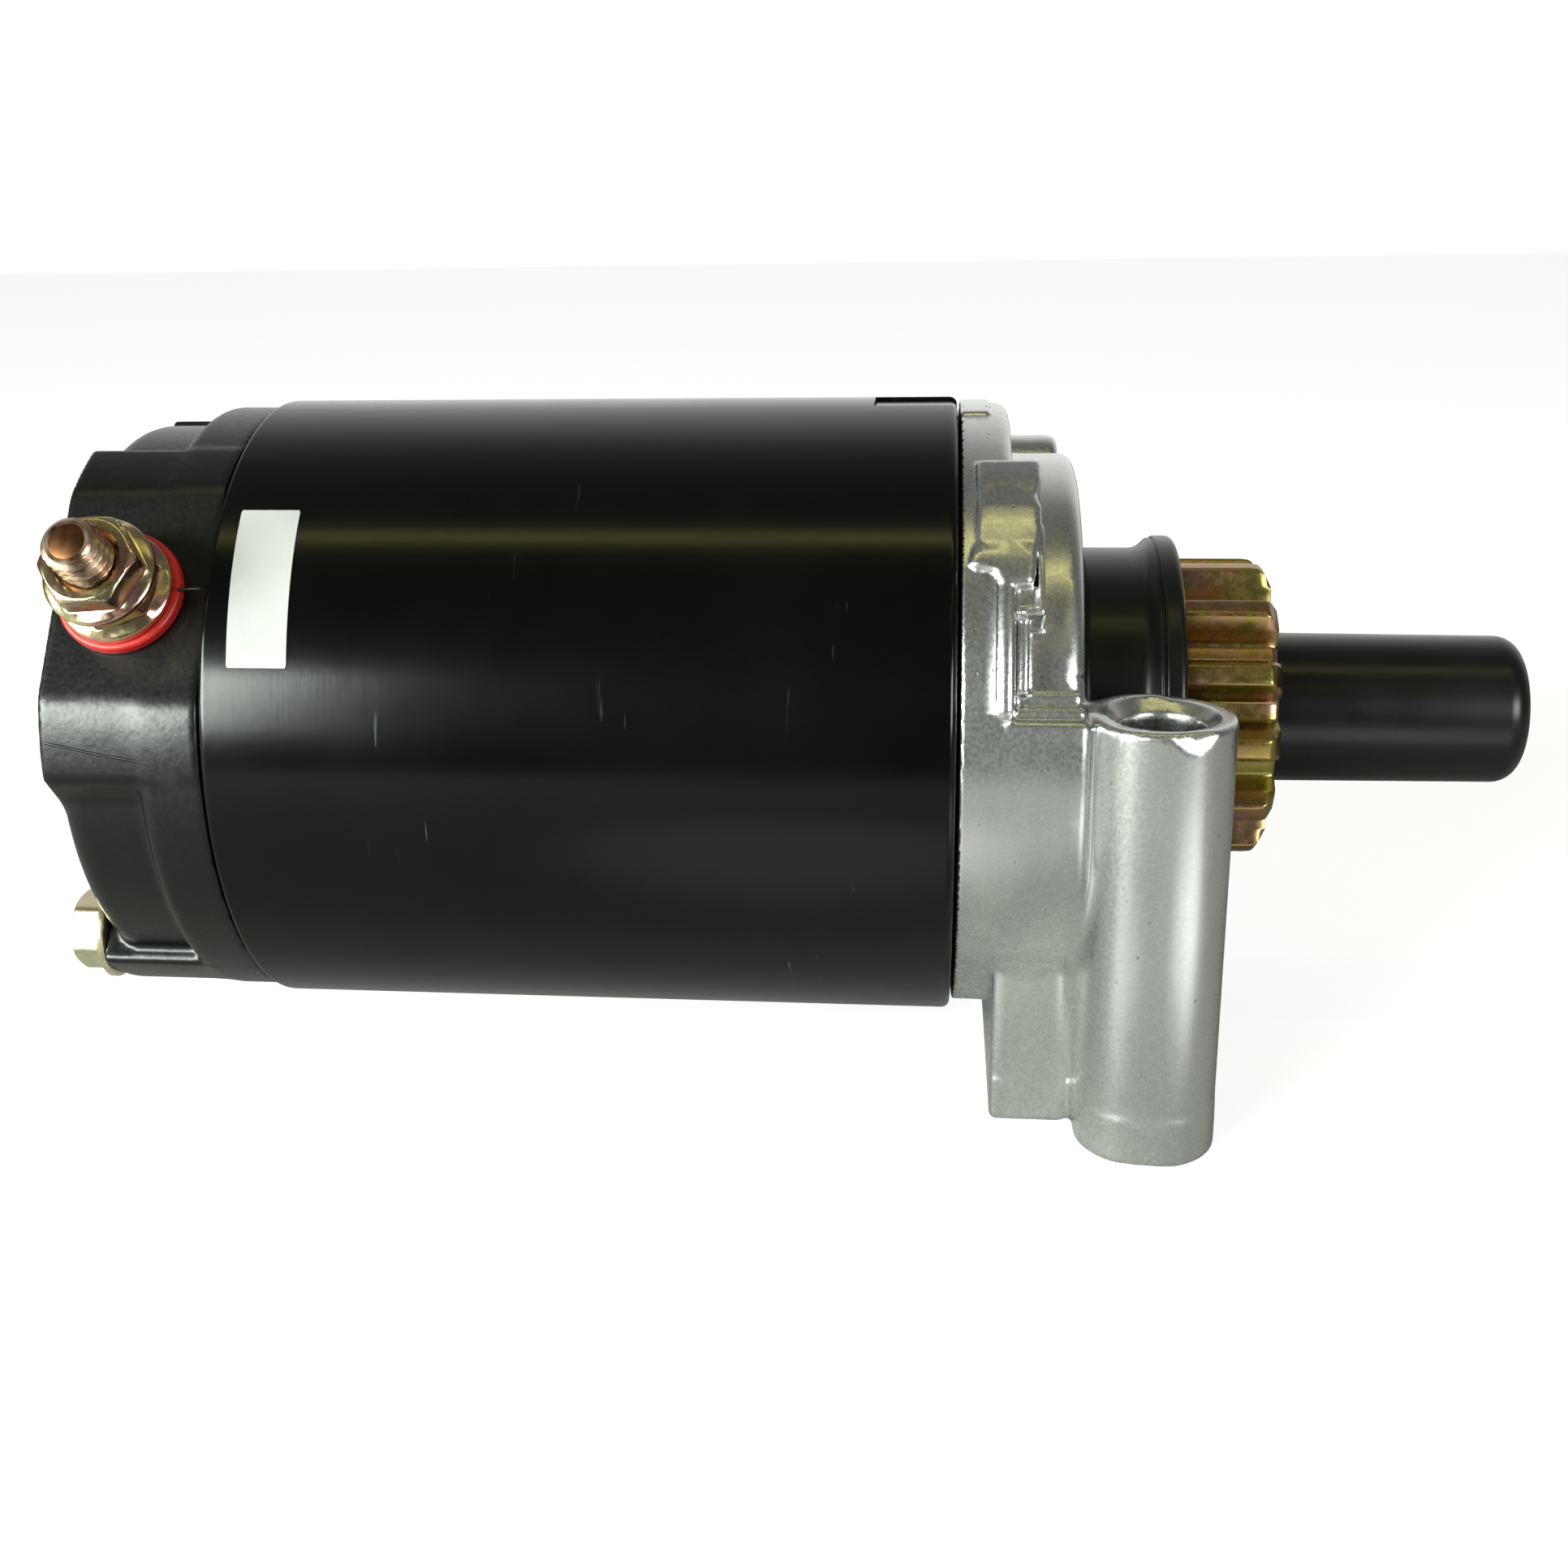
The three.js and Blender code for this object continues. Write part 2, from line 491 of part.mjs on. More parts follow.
function castingGeometry() {
  const edge = 1.2;
  const { seat, skirt, skirtFront, nose, front, spigot, cavity } = CASTING;
  const shell = revolve([
    [spigot, 0], [spigot, FRAME.inner - GAP], [seat, FRAME.inner - GAP], [seat, skirt],
    [skirtFront - edge, skirt], [skirtFront, skirt - edge], [skirtFront, nose],
    [front - edge, nose], [front, nose - edge], [front, 0]]);
  const wall = common(
    rod(seat, front, WALL.radius, ROUND), block(seat - 1, front + 1, -50, 50, -50, WALL.top));
  const lug = sector(38.7, 62, cavity, 38, 2, 10.3, 4);
  const ridges = [[28, 38.7, 37.6, 8.5], [12, 28, 36.2, 11]].map(
    ([from, to, radius, ridgeFront]) => sector(from, to + 0.5, cavity, radius, 2, ridgeFront, 3));
  const bossCentre = polar(BOLT.circle, BOLT.angles[1]);
  const boss = rod(seat, front - 1, 5.2).translate(0, bossCentre.x, bossCentre.y);
  const foot = block(FOOT.rear, FOOT.front, -FOOT.halfWidth, FOOT.halfWidth, FOOT.bottom, FOOT.top);

  const tubes = [];
  const bores = [];
  for (const side of [-1, 1]) {
    const centreY = side * TUBE.y;
    const place = (geometry) => geometry.rotateY(-Math.PI / 2).translate(TUBE.x, centreY, 0);
    const webY = [centreY - 5.5, centreY + 5.5];
    tubes.push(place(rod(FOOT.bottom, TUBE.top, TUBE.outer, 32)));
    tubes.push(block(FOOT.front - 2, TUBE.x, ...webY, FOOT.top, TUBE.top));
    const footSide = [side * FOOT.halfWidth * 0.8, centreY + side * 4].sort((a, b) => a - b);
    tubes.push(block(FOOT.front - 4, TUBE.x, ...footSide, FOOT.bottom, FOOT.top + 1));
    const depth = TUBE.chamfer - TUBE.bore;
    bores.push(place(revolve([
      [FOOT.bottom - 1, 0], [FOOT.bottom - 1, TUBE.bore], [TUBE.top - depth, TUBE.bore],
      [TUBE.top + 0.1, TUBE.chamfer + 0.1], [TUBE.top + 0.1, 0]], SMALL)));
  }

  const hollow = revolve([
    [spigot - 1, 0], [spigot - 1, cavity], [front - 6, cavity],
    [front - 6, 11], [FRONT_BUSHING.rear, 11], [FRONT_BUSHING.rear, 0]]);
  const bushingBore = rod(FRONT_BUSHING.rear - 1, front + 1, FRONT_BUSHING.outer + GAP);
  return cut(join(shell, wall, lug, ...ridges, boss, foot, ...tubes),
    hollow, bushingBore, ...bores, ...boltHoles(spigot - 1, BOLT.tip + 1));
}

function addDriveEnd(model) {
  add(model, 'drive_end_housing', castingGeometry(), MATERIAL.castAluminium);
  const { rear, front, inner, outer } = FRONT_BUSHING;
  add(model, 'front_bushing', ring(rear, front, inner, outer, SMALL), MATERIAL.bronze);
}

// ---- inertia drive ------------------------------------------------------------------------------

function gearShape() {
  const points = [];
  const pitch = 360 / PINION.teeth;
  const outline = [[-0.31, PINION.root], [-0.235, (PINION.root + PINION.tip) / 2], [-0.13, PINION.tip],
    [0.13, PINION.tip], [0.235, (PINION.root + PINION.tip) / 2], [0.31, PINION.root]];
  for (let tooth = 0; tooth < PINION.teeth; tooth += 1) {
    for (const [turn, radius] of outline) points.push(polar(radius, pitch * (tooth + turn)));
  }
  return new THREE.Shape(points);
}

function pinionGeometry() {
  const chamfer = 1.1;
  const blank = revolve([
    [PINION.rear, 0], [PINION.rear, PINION.hub], [PINION.toothRear, PINION.hub],
    [PINION.toothRear, PINION.tip + 0.1], [PINION.front - chamfer, PINION.tip + 0.1],
    [PINION.front, PINION.tip - chamfer], [PINION.front, 0]]);
  const hub = rod(PINION.rear, PINION.front - 0.5, PINION.hub, ROUND);
  const toothed = join(common(blank, prism(gearShape(), PINION.toothRear, PINION.front)), hub);
  return cut(toothed, splinePrism(GAP, PINION.rear - 1, PINION.front + 1));
}

function coverGeometry() {
  const { mouth, tip, outer, outerTip, wall, round } = COVER;
  const arc = (centreX, centreR, radius) => [0, 1, 2, 3].map((i) => {
    const turn = Math.PI / 2 * (1 - i / 3);
    return [centreX + radius * Math.cos(turn), centreR + radius * Math.sin(turn)];
  });
  const outside = [[mouth, outer], ...arc(tip - round, outerTip - round, round), [tip, 0]];
  const inside = [[mouth, outer - wall], ...arc(tip - round, outerTip - round, round - wall), [tip - wall, 0]];
  return revolve([...outside.reverse(), ...inside], 32);
}

function addDrive(model) {
  const bore = SHAFT_RADIUS.main + GAP;
  const lip = 1.3;
  add(model, 'drive_cup', revolve([
    [CUP.rear, bore], [CUP.rear, CUP.outer - 0.8], [CUP.rear + 0.8, CUP.outer], [CUP.flareFrom, CUP.outer],
    [CUP.rim - 1.2, CUP.rimOuter], [CUP.rim, CUP.rimOuter], [CUP.rim, CUP.rimOuter - lip],
    [CUP.flareFrom, CUP.inner], [CUP.floor, CUP.inner], [CUP.floor, bore]]), MATERIAL.blackPaint);
  const cushion = ring(CUP.floor + GAP, CUP.flareFrom - 0.6, PINION.hub + 0.6, CUP.inner - GAP);
  add(model, 'cup_cushion', cushion, MATERIAL.rubber);
  add(model, 'drive_pinion', pinionGeometry(), MATERIAL.yellowZinc);
  const spacer = ring(COVER.mouth + 0.1, SPACER.front, SPACER.inner, COVER.outer - COVER.wall - GAP, SMALL);
  add(model, 'dust_cover_spacer', spacer, MATERIAL.steel);
  add(model, 'dust_cover', coverGeometry(), MATERIAL.blackPlastic);
  const coil = new Helix(DRIFT_SPRING.radius, SPACER.front + GAP + DRIFT_SPRING.wire,
    STOP.rear - GAP - DRIFT_SPRING.wire, DRIFT_SPRING.turns);
  add(model, 'anti_drift_spring', wire(coil, DRIFT_SPRING.wire, DRIFT_SPRING.turns * 12), MATERIAL.steel);
  add(model, 'stop_collar', ring(STOP.rear, STOP.front, SHAFT_RADIUS.tail + 0.2, STOP.outer, SMALL), MATERIAL.steel);
  const clip = sector(-150, 150, SHAFT_RADIUS.tail - 0.5, 6.4, STOP.front + 0.4, STOP.front + 1.2, 16);
  add(model, 'retaining_ring', clip, MATERIAL.steel);
}

// ---- the whole motor ----------------------------------------------------------------------------

const model = new THREE.Group();
addFrame(model);
addEndCap(model);
addTerminal(model);
addBolts(model);
addBrushGear(model);
addArmature(model);
addDriveEnd(model);
addDrive(model);
model.position.set(-(FOOT.rear + FOOT.front) / 2, 0, -FOOT.bottom);

const starterMotor = new THREE.Group();
starterMotor.add(model);

export default starterMotor;
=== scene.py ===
"""A small inertia-drive starter motor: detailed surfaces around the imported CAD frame.

Shapes are worked out in millimetres in the motor's own shaft frame: X runs along the armature shaft
towards the pinion, y = z = 0 is its axis, and x = 0 lies just behind the front rim of the frame tube.
An angle round the shaft is counted in degrees from -Y (0) towards +Z (90).
"""

import math

import bpy
import numpy as np
import openvdb
from mathutils import Matrix, Vector


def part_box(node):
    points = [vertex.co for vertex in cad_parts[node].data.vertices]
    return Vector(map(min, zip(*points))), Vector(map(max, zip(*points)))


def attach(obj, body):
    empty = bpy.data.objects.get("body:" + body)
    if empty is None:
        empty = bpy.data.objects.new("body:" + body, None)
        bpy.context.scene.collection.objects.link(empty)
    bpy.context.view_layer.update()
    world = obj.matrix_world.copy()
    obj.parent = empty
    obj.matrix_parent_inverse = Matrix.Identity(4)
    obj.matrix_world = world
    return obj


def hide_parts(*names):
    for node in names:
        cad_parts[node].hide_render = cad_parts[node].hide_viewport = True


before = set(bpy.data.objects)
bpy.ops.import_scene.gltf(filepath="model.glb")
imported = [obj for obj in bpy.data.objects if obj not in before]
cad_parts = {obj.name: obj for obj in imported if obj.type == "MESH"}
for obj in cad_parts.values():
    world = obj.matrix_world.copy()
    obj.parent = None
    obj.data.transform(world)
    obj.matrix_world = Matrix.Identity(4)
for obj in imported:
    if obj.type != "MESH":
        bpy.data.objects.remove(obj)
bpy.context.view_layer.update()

# ---- datums and driving dimensions, in millimetres ----

MM = 0.001
FRONT_RIM = 0.9                  # the frame tube's front rim, ahead of x = 0
tube_low, tube_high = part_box("frame_tube")
ORIGIN = np.array([tube_high.x - FRONT_RIM * MM, (tube_low.y + tube_high.y) / 2,
                   (tube_low.z + tube_high.z) / 2])


def span(node):
    """A CAD node's lowest and highest corners in the shaft frame."""
    low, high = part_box(node)
    return (np.array(low) - ORIGIN) / MM, (np.array(high) - ORIGIN) / MM


def radius_of(node):
    low, high = span(node)
    return (high[2] - low[2]) / 2


TUBE_REAR, TUBE_FRONT = span("frame_tube")[0][0], span("frame_tube")[1][0]
TUBE_RADIUS = radius_of("frame_tube")
TUBE_INNER = 34.9
GAP = 0.3

BOLT_ANGLES = (-55.0, 125.0)
BOLT_CIRCLE = 31.6
BOLT = {"shank": 2.5, "hole": 2.8, "tip": 11.0, "seat": -103.6, "head": -108.8, "flange": 6.0,
        "flange_thick": 1.1, "across": 9.0}

CAP = {"skirt": 37.3, "drum": 35.0, "step": -91.0, "rear": -102.0, "cavity": 32.5, "floor": -99.5}
LOBE = {"span": (-20.0, 68.0), "rear": -102.0, "inner": 20.0}
TERMINAL = {"x": -93.6, "angle": 35.0, "seat": 35.0, "tip": 50.2, "thread": 3.175, "pitch": 1.27}

CASTING = {"seat": 1.2, "skirt": 37.3, "skirt_front": 7.0, "nose": 31.2, "front": 15.0, "spigot": -2.5}
WALL = {"radius": 37.0, "top": 8.5}
FOOT = {"rear": 5.6, "front": 14.3, "half": 29.0, "bottom": -43.0, "top": -20.0}
MOUNT = {"x": 23.2, "y": 31.0, "outer": 8.0, "bore": 4.7, "chamfer": 6.0, "top": 8.0}
BUSHING_OUTER = 8.0

SPLINE = {"starts": 4, "lead": 80.0, "root": 4.85, "outer": 5.8, "half": 22.0}
PINION = {"teeth": 13, "tip": 18.4, "root": 14.4, "hub": 13.5, "rear": 19.5, "tooth_rear": 25.5,
          "front": 38.6}

# ---- mesh helpers ----


def to_row(points):
    """Shaft-frame millimetres to row-frame metres."""
    return np.asarray(points, float) * MM + ORIGIN


def turn_of(y, z):
    """The angle round the shaft, in degrees."""
    return np.degrees(np.arctan2(z, -y))


def polar(radius, angle):
    """y and z at a radius and an angle round the shaft."""
    a = np.radians(angle)
    return -radius * np.cos(a), radius * np.sin(a)


def outward(points, faces):
    """The faces, turned round if they enclose a negative volume."""
    volume = 0.0
    for face in faces:
        corners = points[list(face)]
        fan = np.cross(corners[1:-1], corners[2:])
        volume += float((fan @ corners[0]).sum())
    return [tuple(reversed(face)) for face in faces] if volume < 0 else faces


def make_mesh(name, points, faces, sharp=40.0):
    """A piece from shaft-frame points: smooth, with edges over `sharp` degrees kept crisp."""
    mesh = bpy.data.meshes.new(name)
    mesh.from_pydata(to_row(points).tolist(), [], faces)
    mesh.update()
    mesh.shade_smooth()
    if sharp:
        mesh.set_sharp_from_angle(angle=math.radians(sharp))
    piece = bpy.data.objects.new(name, mesh)
    bpy.context.scene.collection.objects.link(piece)
    return piece


def loft(name, rings, torus=False, sharp=40.0):
    """A closed body through rings of points; a torus joins its last ring to its first."""
    rings = np.asarray(rings, float)
    count, around = rings.shape[:2]
    faces = []
    for i in range(count if torus else count - 1):
        here, there = i * around, (i + 1) % count * around
        for j in range(around):
            k = (j + 1) % around
            faces.append((here + j, here + k, there + k, there + j))
    if not torus:
        faces.append(tuple(reversed(range(around))))
        faces.append(tuple(range((count - 1) * around, count * around)))
    points = rings.reshape(-1, 3)
    return make_mesh(name, points, outward(points, faces), sharp)


def rounded_path(corners, closed=True, turn_step=12.0, support=0.12):
    """Points along straight lines between [a, b, fillet] corners, with an arc at each filleted corner.

    A support point beside each arc keeps the flat stretches shaded flat."""
    path = []
    count = len(corners)
    for i, (a, b, fillet) in enumerate(corners):
        here = np.array([a, b], float)
        if fillet <= 0 or (not closed and i in (0, count - 1)):
            path.append(here)
            continue
        back = np.array(corners[i - 1][:2], float) - here
        ahead = np.array(corners[(i + 1) % count][:2], float) - here
        back_unit, ahead_unit = back / np.linalg.norm(back), ahead / np.linalg.norm(ahead)
        opening = math.acos(np.clip(back_unit @ ahead_unit, -1, 1))
        if opening > math.pi - 0.01:
            path.append(here)
            continue
        reach = fillet / math.tan(opening / 2)
        centre = here + (back_unit + ahead_unit) / np.linalg.norm(back_unit + ahead_unit) * (
            fillet / math.sin(opening / 2))
        start, end = here + back_unit * reach - centre, here + ahead_unit * reach - centre
        sweep = math.pi - opening
        steps = max(2, math.ceil(math.degrees(sweep) / turn_step))
        if support and reach + support < np.linalg.norm(back) / 2:
            path.append(here + back_unit * (reach + support))
        for k in range(steps + 1):
            t = k / steps
            near, far = math.sin((1 - t) * sweep), math.sin(t * sweep)
            path.append(centre + (near * start + far * end) / math.sin(sweep))
        if support and reach + support < np.linalg.norm(ahead) / 2:
            path.append(here + ahead_unit * (reach + support))
    return np.array(path)


def ring_at(x, radius, columns):
    """A ring of points at x, at one radius for all the angles in columns or one for each."""
    return np.column_stack([np.full(len(columns), x), *polar(radius, columns)])


def revolve(name, corners, closed=True, sides=160, sharp=40.0):
    """A body turned about the shaft from [x, radius, fillet] corners.

    They are a closed outline off the axis, or an open one that ends near the axis."""
    columns = np.arange(sides) * 360 / sides
    rings = [ring_at(x, radius, columns) for x, radius in rounded_path(corners, closed)]
    return loft(name, rings, torus=closed, sharp=sharp)


def radial_frame(x, angle):
    """Turns points built along +X on the shaft axis out to stand at x, facing an angle round the shaft."""
    y, z = polar(1.0, angle)
    out = np.array([0.0, y, z])
    along = np.array([1.0, 0.0, 0.0])
    side = np.cross(out, along)

    def place(points):
        points = np.asarray(points, float)
        return (np.array([x, 0, 0]) + points[..., :1] * out + points[..., 1:2] * along
                + points[..., 2:3] * side)
    return place


def offset_frame(y, z):
    """Moves points built round the shaft axis to an axis beside it."""
    return lambda points: np.asarray(points, float) + np.array([0, y, z])


def rings_from(radius, heights, columns, place):
    """Rings at each height whose radius is radius(height index, angle in degrees)."""
    return [place(ring_at(height, radius(i, columns), columns)) for i, height in enumerate(heights)]


def ridge(name, path, radius, height, half, material, slot):
    """A thin raised line along a path of (x, angle) points on a cylinder round the shaft."""
    path = np.asarray(path, float)
    steps = np.linspace(0, len(path) - 1, 25)
    x, angle = (np.interp(steps, np.arange(len(path)), column) for column in path.T)
    run = np.gradient(x), np.radians(np.gradient(angle)) * radius
    length = np.hypot(*run)
    across_x, across_arc = -run[1] / length, run[0] / length
    rings = []
    for i in range(len(steps)):
        fade = 1.0 if 0 < i < len(steps) - 1 else 0.3
        ring = []
        for side, lift in ((-1, -0.25), (-1, 0.0), (-0.35, height * fade), (0.35, height * fade), (1, 0.0),
                           (1, -0.25)):
            turn = angle[i] + np.degrees(across_arc[i] * side * half / radius)
            ring.append((x[i] + across_x[i] * side * half, *polar(radius + lift, turn)))
        rings.append(ring)
    finish_piece(loft(name, rings, sharp=60), material, slot)


# ---- signed distance fields for the castings ----

FAR = 9.0


def within(*distances, fillet=0.0):
    """Distance to what several surfaces enclose together, with its edges rounded."""
    grown = [distance + fillet for distance in distances]
    deepest = grown[0]
    beyond = np.maximum(grown[0], 0) ** 2
    for distance in grown[1:]:
        deepest = np.maximum(deepest, distance)
        beyond = beyond + np.maximum(distance, 0) ** 2
    return np.minimum(deepest, 0) + np.sqrt(beyond) - fillet


def blended(a, b, reach):
    """The union of two distances with a smooth fillet between them."""
    if reach <= 0:
        return np.minimum(a, b)
    overlap = np.maximum(reach - np.abs(a - b), 0)
    return np.minimum(a, b) - overlap * overlap / (4 * reach)


def slab(value, low, high):
    return np.abs(value - (low + high) / 2) - (high - low) / 2


def arc_slab(y, z, first, last):
    """Distance to a wedge between two angles round the shaft, measured along the arc."""
    middle, half = (first + last) / 2, (last - first) / 2
    away = np.abs((turn_of(y, z) - middle + 180) % 360 - 180)
    return np.radians(away - half) * np.hypot(y, z)


def rod(radius, rear, front, fillet=0.0, centre=(0.0, 0.0)):
    """The distance function of a cylinder along the shaft, or beside it round a centre in y and z."""
    cy, cz = centre
    return lambda x, y, z: within(np.hypot(y - cy, z - cz) - radius, slab(x, rear, front), fillet=fillet)


def trilinear(values, points):
    """Values of a grid at points given in grid steps."""
    base = np.clip(np.floor(points).astype(int), 0, np.array(values.shape[:3]) - 2)
    part = points - base
    total = 0
    for corner in range(8):
        offset = np.array([corner & 1, corner >> 1 & 1, corner >> 2 & 1])
        weight = np.prod(np.where(offset, part, 1 - part), axis=1)
        index = base + offset
        found = values[index[:, 0], index[:, 1], index[:, 2]]
        total = total + (found * weight if found.ndim == 1 else found * weight[:, None])
    return total


class Field:
    """A solid as signed distances on a grid, negative inside."""

    def __init__(self, low, high, step):
        self.step = step
        self.low = np.array(low, float) - 3 * step
        counts = np.ceil((np.array(high) - self.low) / step).astype(int) + 4
        self.axes = [self.low[i] + step * np.arange(counts[i]) for i in range(3)]
        self.values = np.full(counts, FAR, np.float32)

    def _change(self, shape, region, merge, margin):
        near, far = region or (self.low, [axis[-1] for axis in self.axes])
        cut = tuple(slice(*np.searchsorted(axis, (start - margin, end + margin)))
                    for axis, start, end in zip(self.axes, near, far))
        x, y, z = np.meshgrid(*[axis[part] for axis, part in zip(self.axes, cut)], indexing="ij", sparse=True)
        self.values[cut] = merge(self.values[cut], shape(x, y, z))

    def add(self, shape, region=None, blend=0.0):
        """Joins a shape on, everywhere or in and round a region between two corners."""
        self._change(shape, region, lambda old, new: blended(old, new, blend), blend + 2.5)

    def cut(self, shape, region=None, blend=0.0):
        self._change(shape, region, lambda old, new: -blended(-old, new, blend), blend + 2.5)

    def make(self, name):
        """A smooth piece over the field's surface, with its shading taken from the field itself."""
        band, coarseness = 3.0, 0.02
        values = np.clip(self.values / self.step, -band, band)
        grid = openvdb.FloatGrid(background=band)
        grid.copyFromArray(values)
        points, triangles, quads = grid.convertToPolygons(isovalue=0.0, adaptivity=coarseness)
        slope = np.stack(np.gradient(values), axis=-1)
        points = points.astype(float)
        for _ in range(2):
            normals = trilinear(slope, points)
            length = np.maximum(np.linalg.norm(normals, axis=1), 0.3)
            shift = trilinear(values, points) / length
            points -= normals / length[:, None] * np.clip(shift, -0.5, 0.5)[:, None]
        normals = trilinear(slope, points)
        normals /= np.maximum(np.linalg.norm(normals, axis=1), 1e-6)[:, None]
        places = self.low + points * self.step
        faces = [tuple(face) for face in triangles.tolist()] + [tuple(face) for face in quads.tolist()]
        sample = places[np.array(faces[0][:3])]
        facing = np.cross(sample[1] - sample[0], sample[2] - sample[0]) @ normals[faces[0][0]]
        if facing < 0:
            faces = [tuple(reversed(face)) for face in faces]
        piece = make_mesh(name, places, faces, sharp=None)
        piece.data.normals_split_custom_set_from_vertices(normals.tolist())
        return piece


# ---- materials ----


class Nodes:
    """A node tree, built node by node."""

    def __init__(self, tree):
        self.tree = tree

    def node(self, kind, inputs=None, **settings):
        node = self.tree.nodes.new(kind)
        for key, value in settings.items():
            setattr(node, key, value)
        for key, value in (inputs or {}).items():
            self.feed(node.inputs[key], value)
        return node

    def feed(self, socket, value):
        if isinstance(value, bpy.types.NodeSocket):
            self.tree.links.new(value, socket)
        else:
            socket.default_value = value

    def ramp(self, factor, stops):
        """A colour ramp over (position, (r, g, b)) stops."""
        node = self.node("ShaderNodeValToRGB", {"Fac": factor})
        elements = node.color_ramp.elements
        while len(elements) < len(stops):
            elements.new(0.5)
        for element, (position, colour) in zip(elements, stops):
            element.position, element.color = position, (*colour, 1)
        return node.outputs["Color"]

    def spread(self, factor, low, high, start=0.0, end=1.0, **settings):
        """Maps a factor between start and end onto low to high."""
        inputs = {"Value": factor, "From Min": start, "From Max": end, "To Min": low, "To Max": high}
        return self.node("ShaderNodeMapRange", inputs, **settings).outputs[0]

    def blend(self, factor, first, second):
        node = self.node("ShaderNodeMix", data_type="RGBA")
        for index, value in ((0, factor), (6, first), (7, second)):
            self.feed(node.inputs[index], (*value, 1) if isinstance(value, tuple) else value)
        return node.outputs[2]

    def math(self, operation, first, second):
        return self.node("ShaderNodeMath", {0: first, 1: second}, operation=operation).outputs[0]


class Shader(Nodes):
    """A procedural material round its Principled BSDF."""

    def __init__(self, name, metallic=0.0, ior=1.45):
        self.material = bpy.data.materials.new(name)
        self.material.use_nodes = True
        super().__init__(self.material.node_tree)
        self.bsdf = self.tree.nodes["Principled BSDF"]
        self.place = self.node("ShaderNodeTexCoord").outputs["Object"]
        self.set(Metallic=metallic, IOR=ior)

    def set(self, **values):
        for key, value in values.items():
            self.feed(self.bsdf.inputs[key.replace("_", " ")], value)
        return self.material

    def stretched(self, scale):
        return self.node("ShaderNodeMapping", {"Vector": self.place, "Scale": scale}).outputs[0]

    def noise(self, scale, detail=3.0, rough=0.55, stretch=None):
        vector = self.stretched(stretch) if stretch else self.place
        return self.node("ShaderNodeTexNoise", {
            "Vector": vector, "Scale": scale, "Detail": detail, "Roughness": rough}).outputs["Fac"]

    def wave(self, stretch, direction, scale=1.0, **inputs):
        return self.node("ShaderNodeTexWave", {"Vector": self.stretched(stretch), "Scale": scale, **inputs},
                         bands_direction=direction).outputs["Fac"]

    def cells(self, scale, feature="F1"):
        return self.node("ShaderNodeTexVoronoi", {"Vector": self.place, "Scale": scale},
                         feature=feature).outputs["Distance"]

    def bump(self, *layers):
        """Stacks (height factor, depth in metres) layers of relief."""
        normal = None
        for height, depth in layers:
            inputs = {"Height": height, "Distance": depth, "Strength": 1.0}
            if normal:
                inputs["Normal"] = normal
            normal = self.node("ShaderNodeBump", inputs).outputs[0]
        self.feed(self.bsdf.inputs["Normal"], normal)


def satin_paint():
    """Black enamel over a turned tube: faint tool rings, orange peel and a few fine scuffs."""
    s = Shader("satin_black_paint", ior=1.36)
    rings = s.noise(1.0, 4.0, 0.6, stretch=(2600, 30, 30))
    peel = s.noise(750, 3.0)
    cloud = s.noise(45, 5.0)
    streak = s.noise(1.0, 2.0, stretch=(1500, 90, 90))
    scuff = s.math("MULTIPLY", s.spread(streak, 0, 1, 0.70, 0.76), s.spread(s.noise(60, 2), 0, 1, 0.58, 0.68))
    base = s.ramp(cloud, [(0.3, (0.0003, 0.0006, 0.0003)), (0.7, (0.0007, 0.0013, 0.0009))])
    s.bump((rings, 1.6e-6), (peel, 5e-6))
    return s.set(Base_Color=s.blend(scuff, base, (0.05, 0.055, 0.052)),
                 Roughness=s.spread(cloud, 0.16, 0.21, 0.3, 0.7))


def cast_paint():
    """The same black over a die casting: pitted and slightly lumpy."""
    s = Shader("black_paint_on_casting", ior=1.46)
    pits = s.cells(900, "SMOOTH_F1")
    lumps = s.noise(1900, 4.0, 0.6)
    swells = s.noise(260, 2.0)
    cloud = s.noise(60, 4.0)
    s.bump((swells, 2.2e-5), (lumps, 1.5e-5), (s.spread(pits, 0, 1, 0.1, 0.45), 8e-6))
    black = s.ramp(cloud, [(0.3, (0.0008, 0.0012, 0.0009)), (0.75, (0.0018, 0.0025, 0.0020))])
    return s.set(Base_Color=black,
                 Roughness=s.spread(lumps, 0.28, 0.36, 0.3, 0.7))


def cast_aluminium():
    """Die-cast aluminium fresh from shot blasting: a smooth skin full of tiny dents, with a few pits."""
    s = Shader("cast_aluminium", metallic=1.0)
    dents = s.noise(2300, 3.0, 0.6)
    flow = s.noise(1.0, 5.0, 0.6, stretch=(120, 120, 40))
    pits = s.spread(s.cells(520), 1, 0, 0.02, 0.13)
    chance = s.spread(s.noise(170, 3), 0, 1, 0.55, 0.62)
    pit = s.math("MULTIPLY", pits, chance)
    tone = s.ramp(flow, [
        (0.3, (0.52, 0.537, 0.535)), (0.55, (0.61, 0.625, 0.605)), (0.75, (0.67, 0.675, 0.65))])
    s.bump((s.noise(240, 2.0, 0.5), 1.0e-5), (dents, 2.5e-6), (s.math("SUBTRACT", 1.0, pit), 3e-5))
    return s.set(Base_Color=s.blend(pit, tone, (0.2, 0.21, 0.21)),
                 Roughness=s.spread(dents, 0.24, 0.31, 0.3, 0.7))


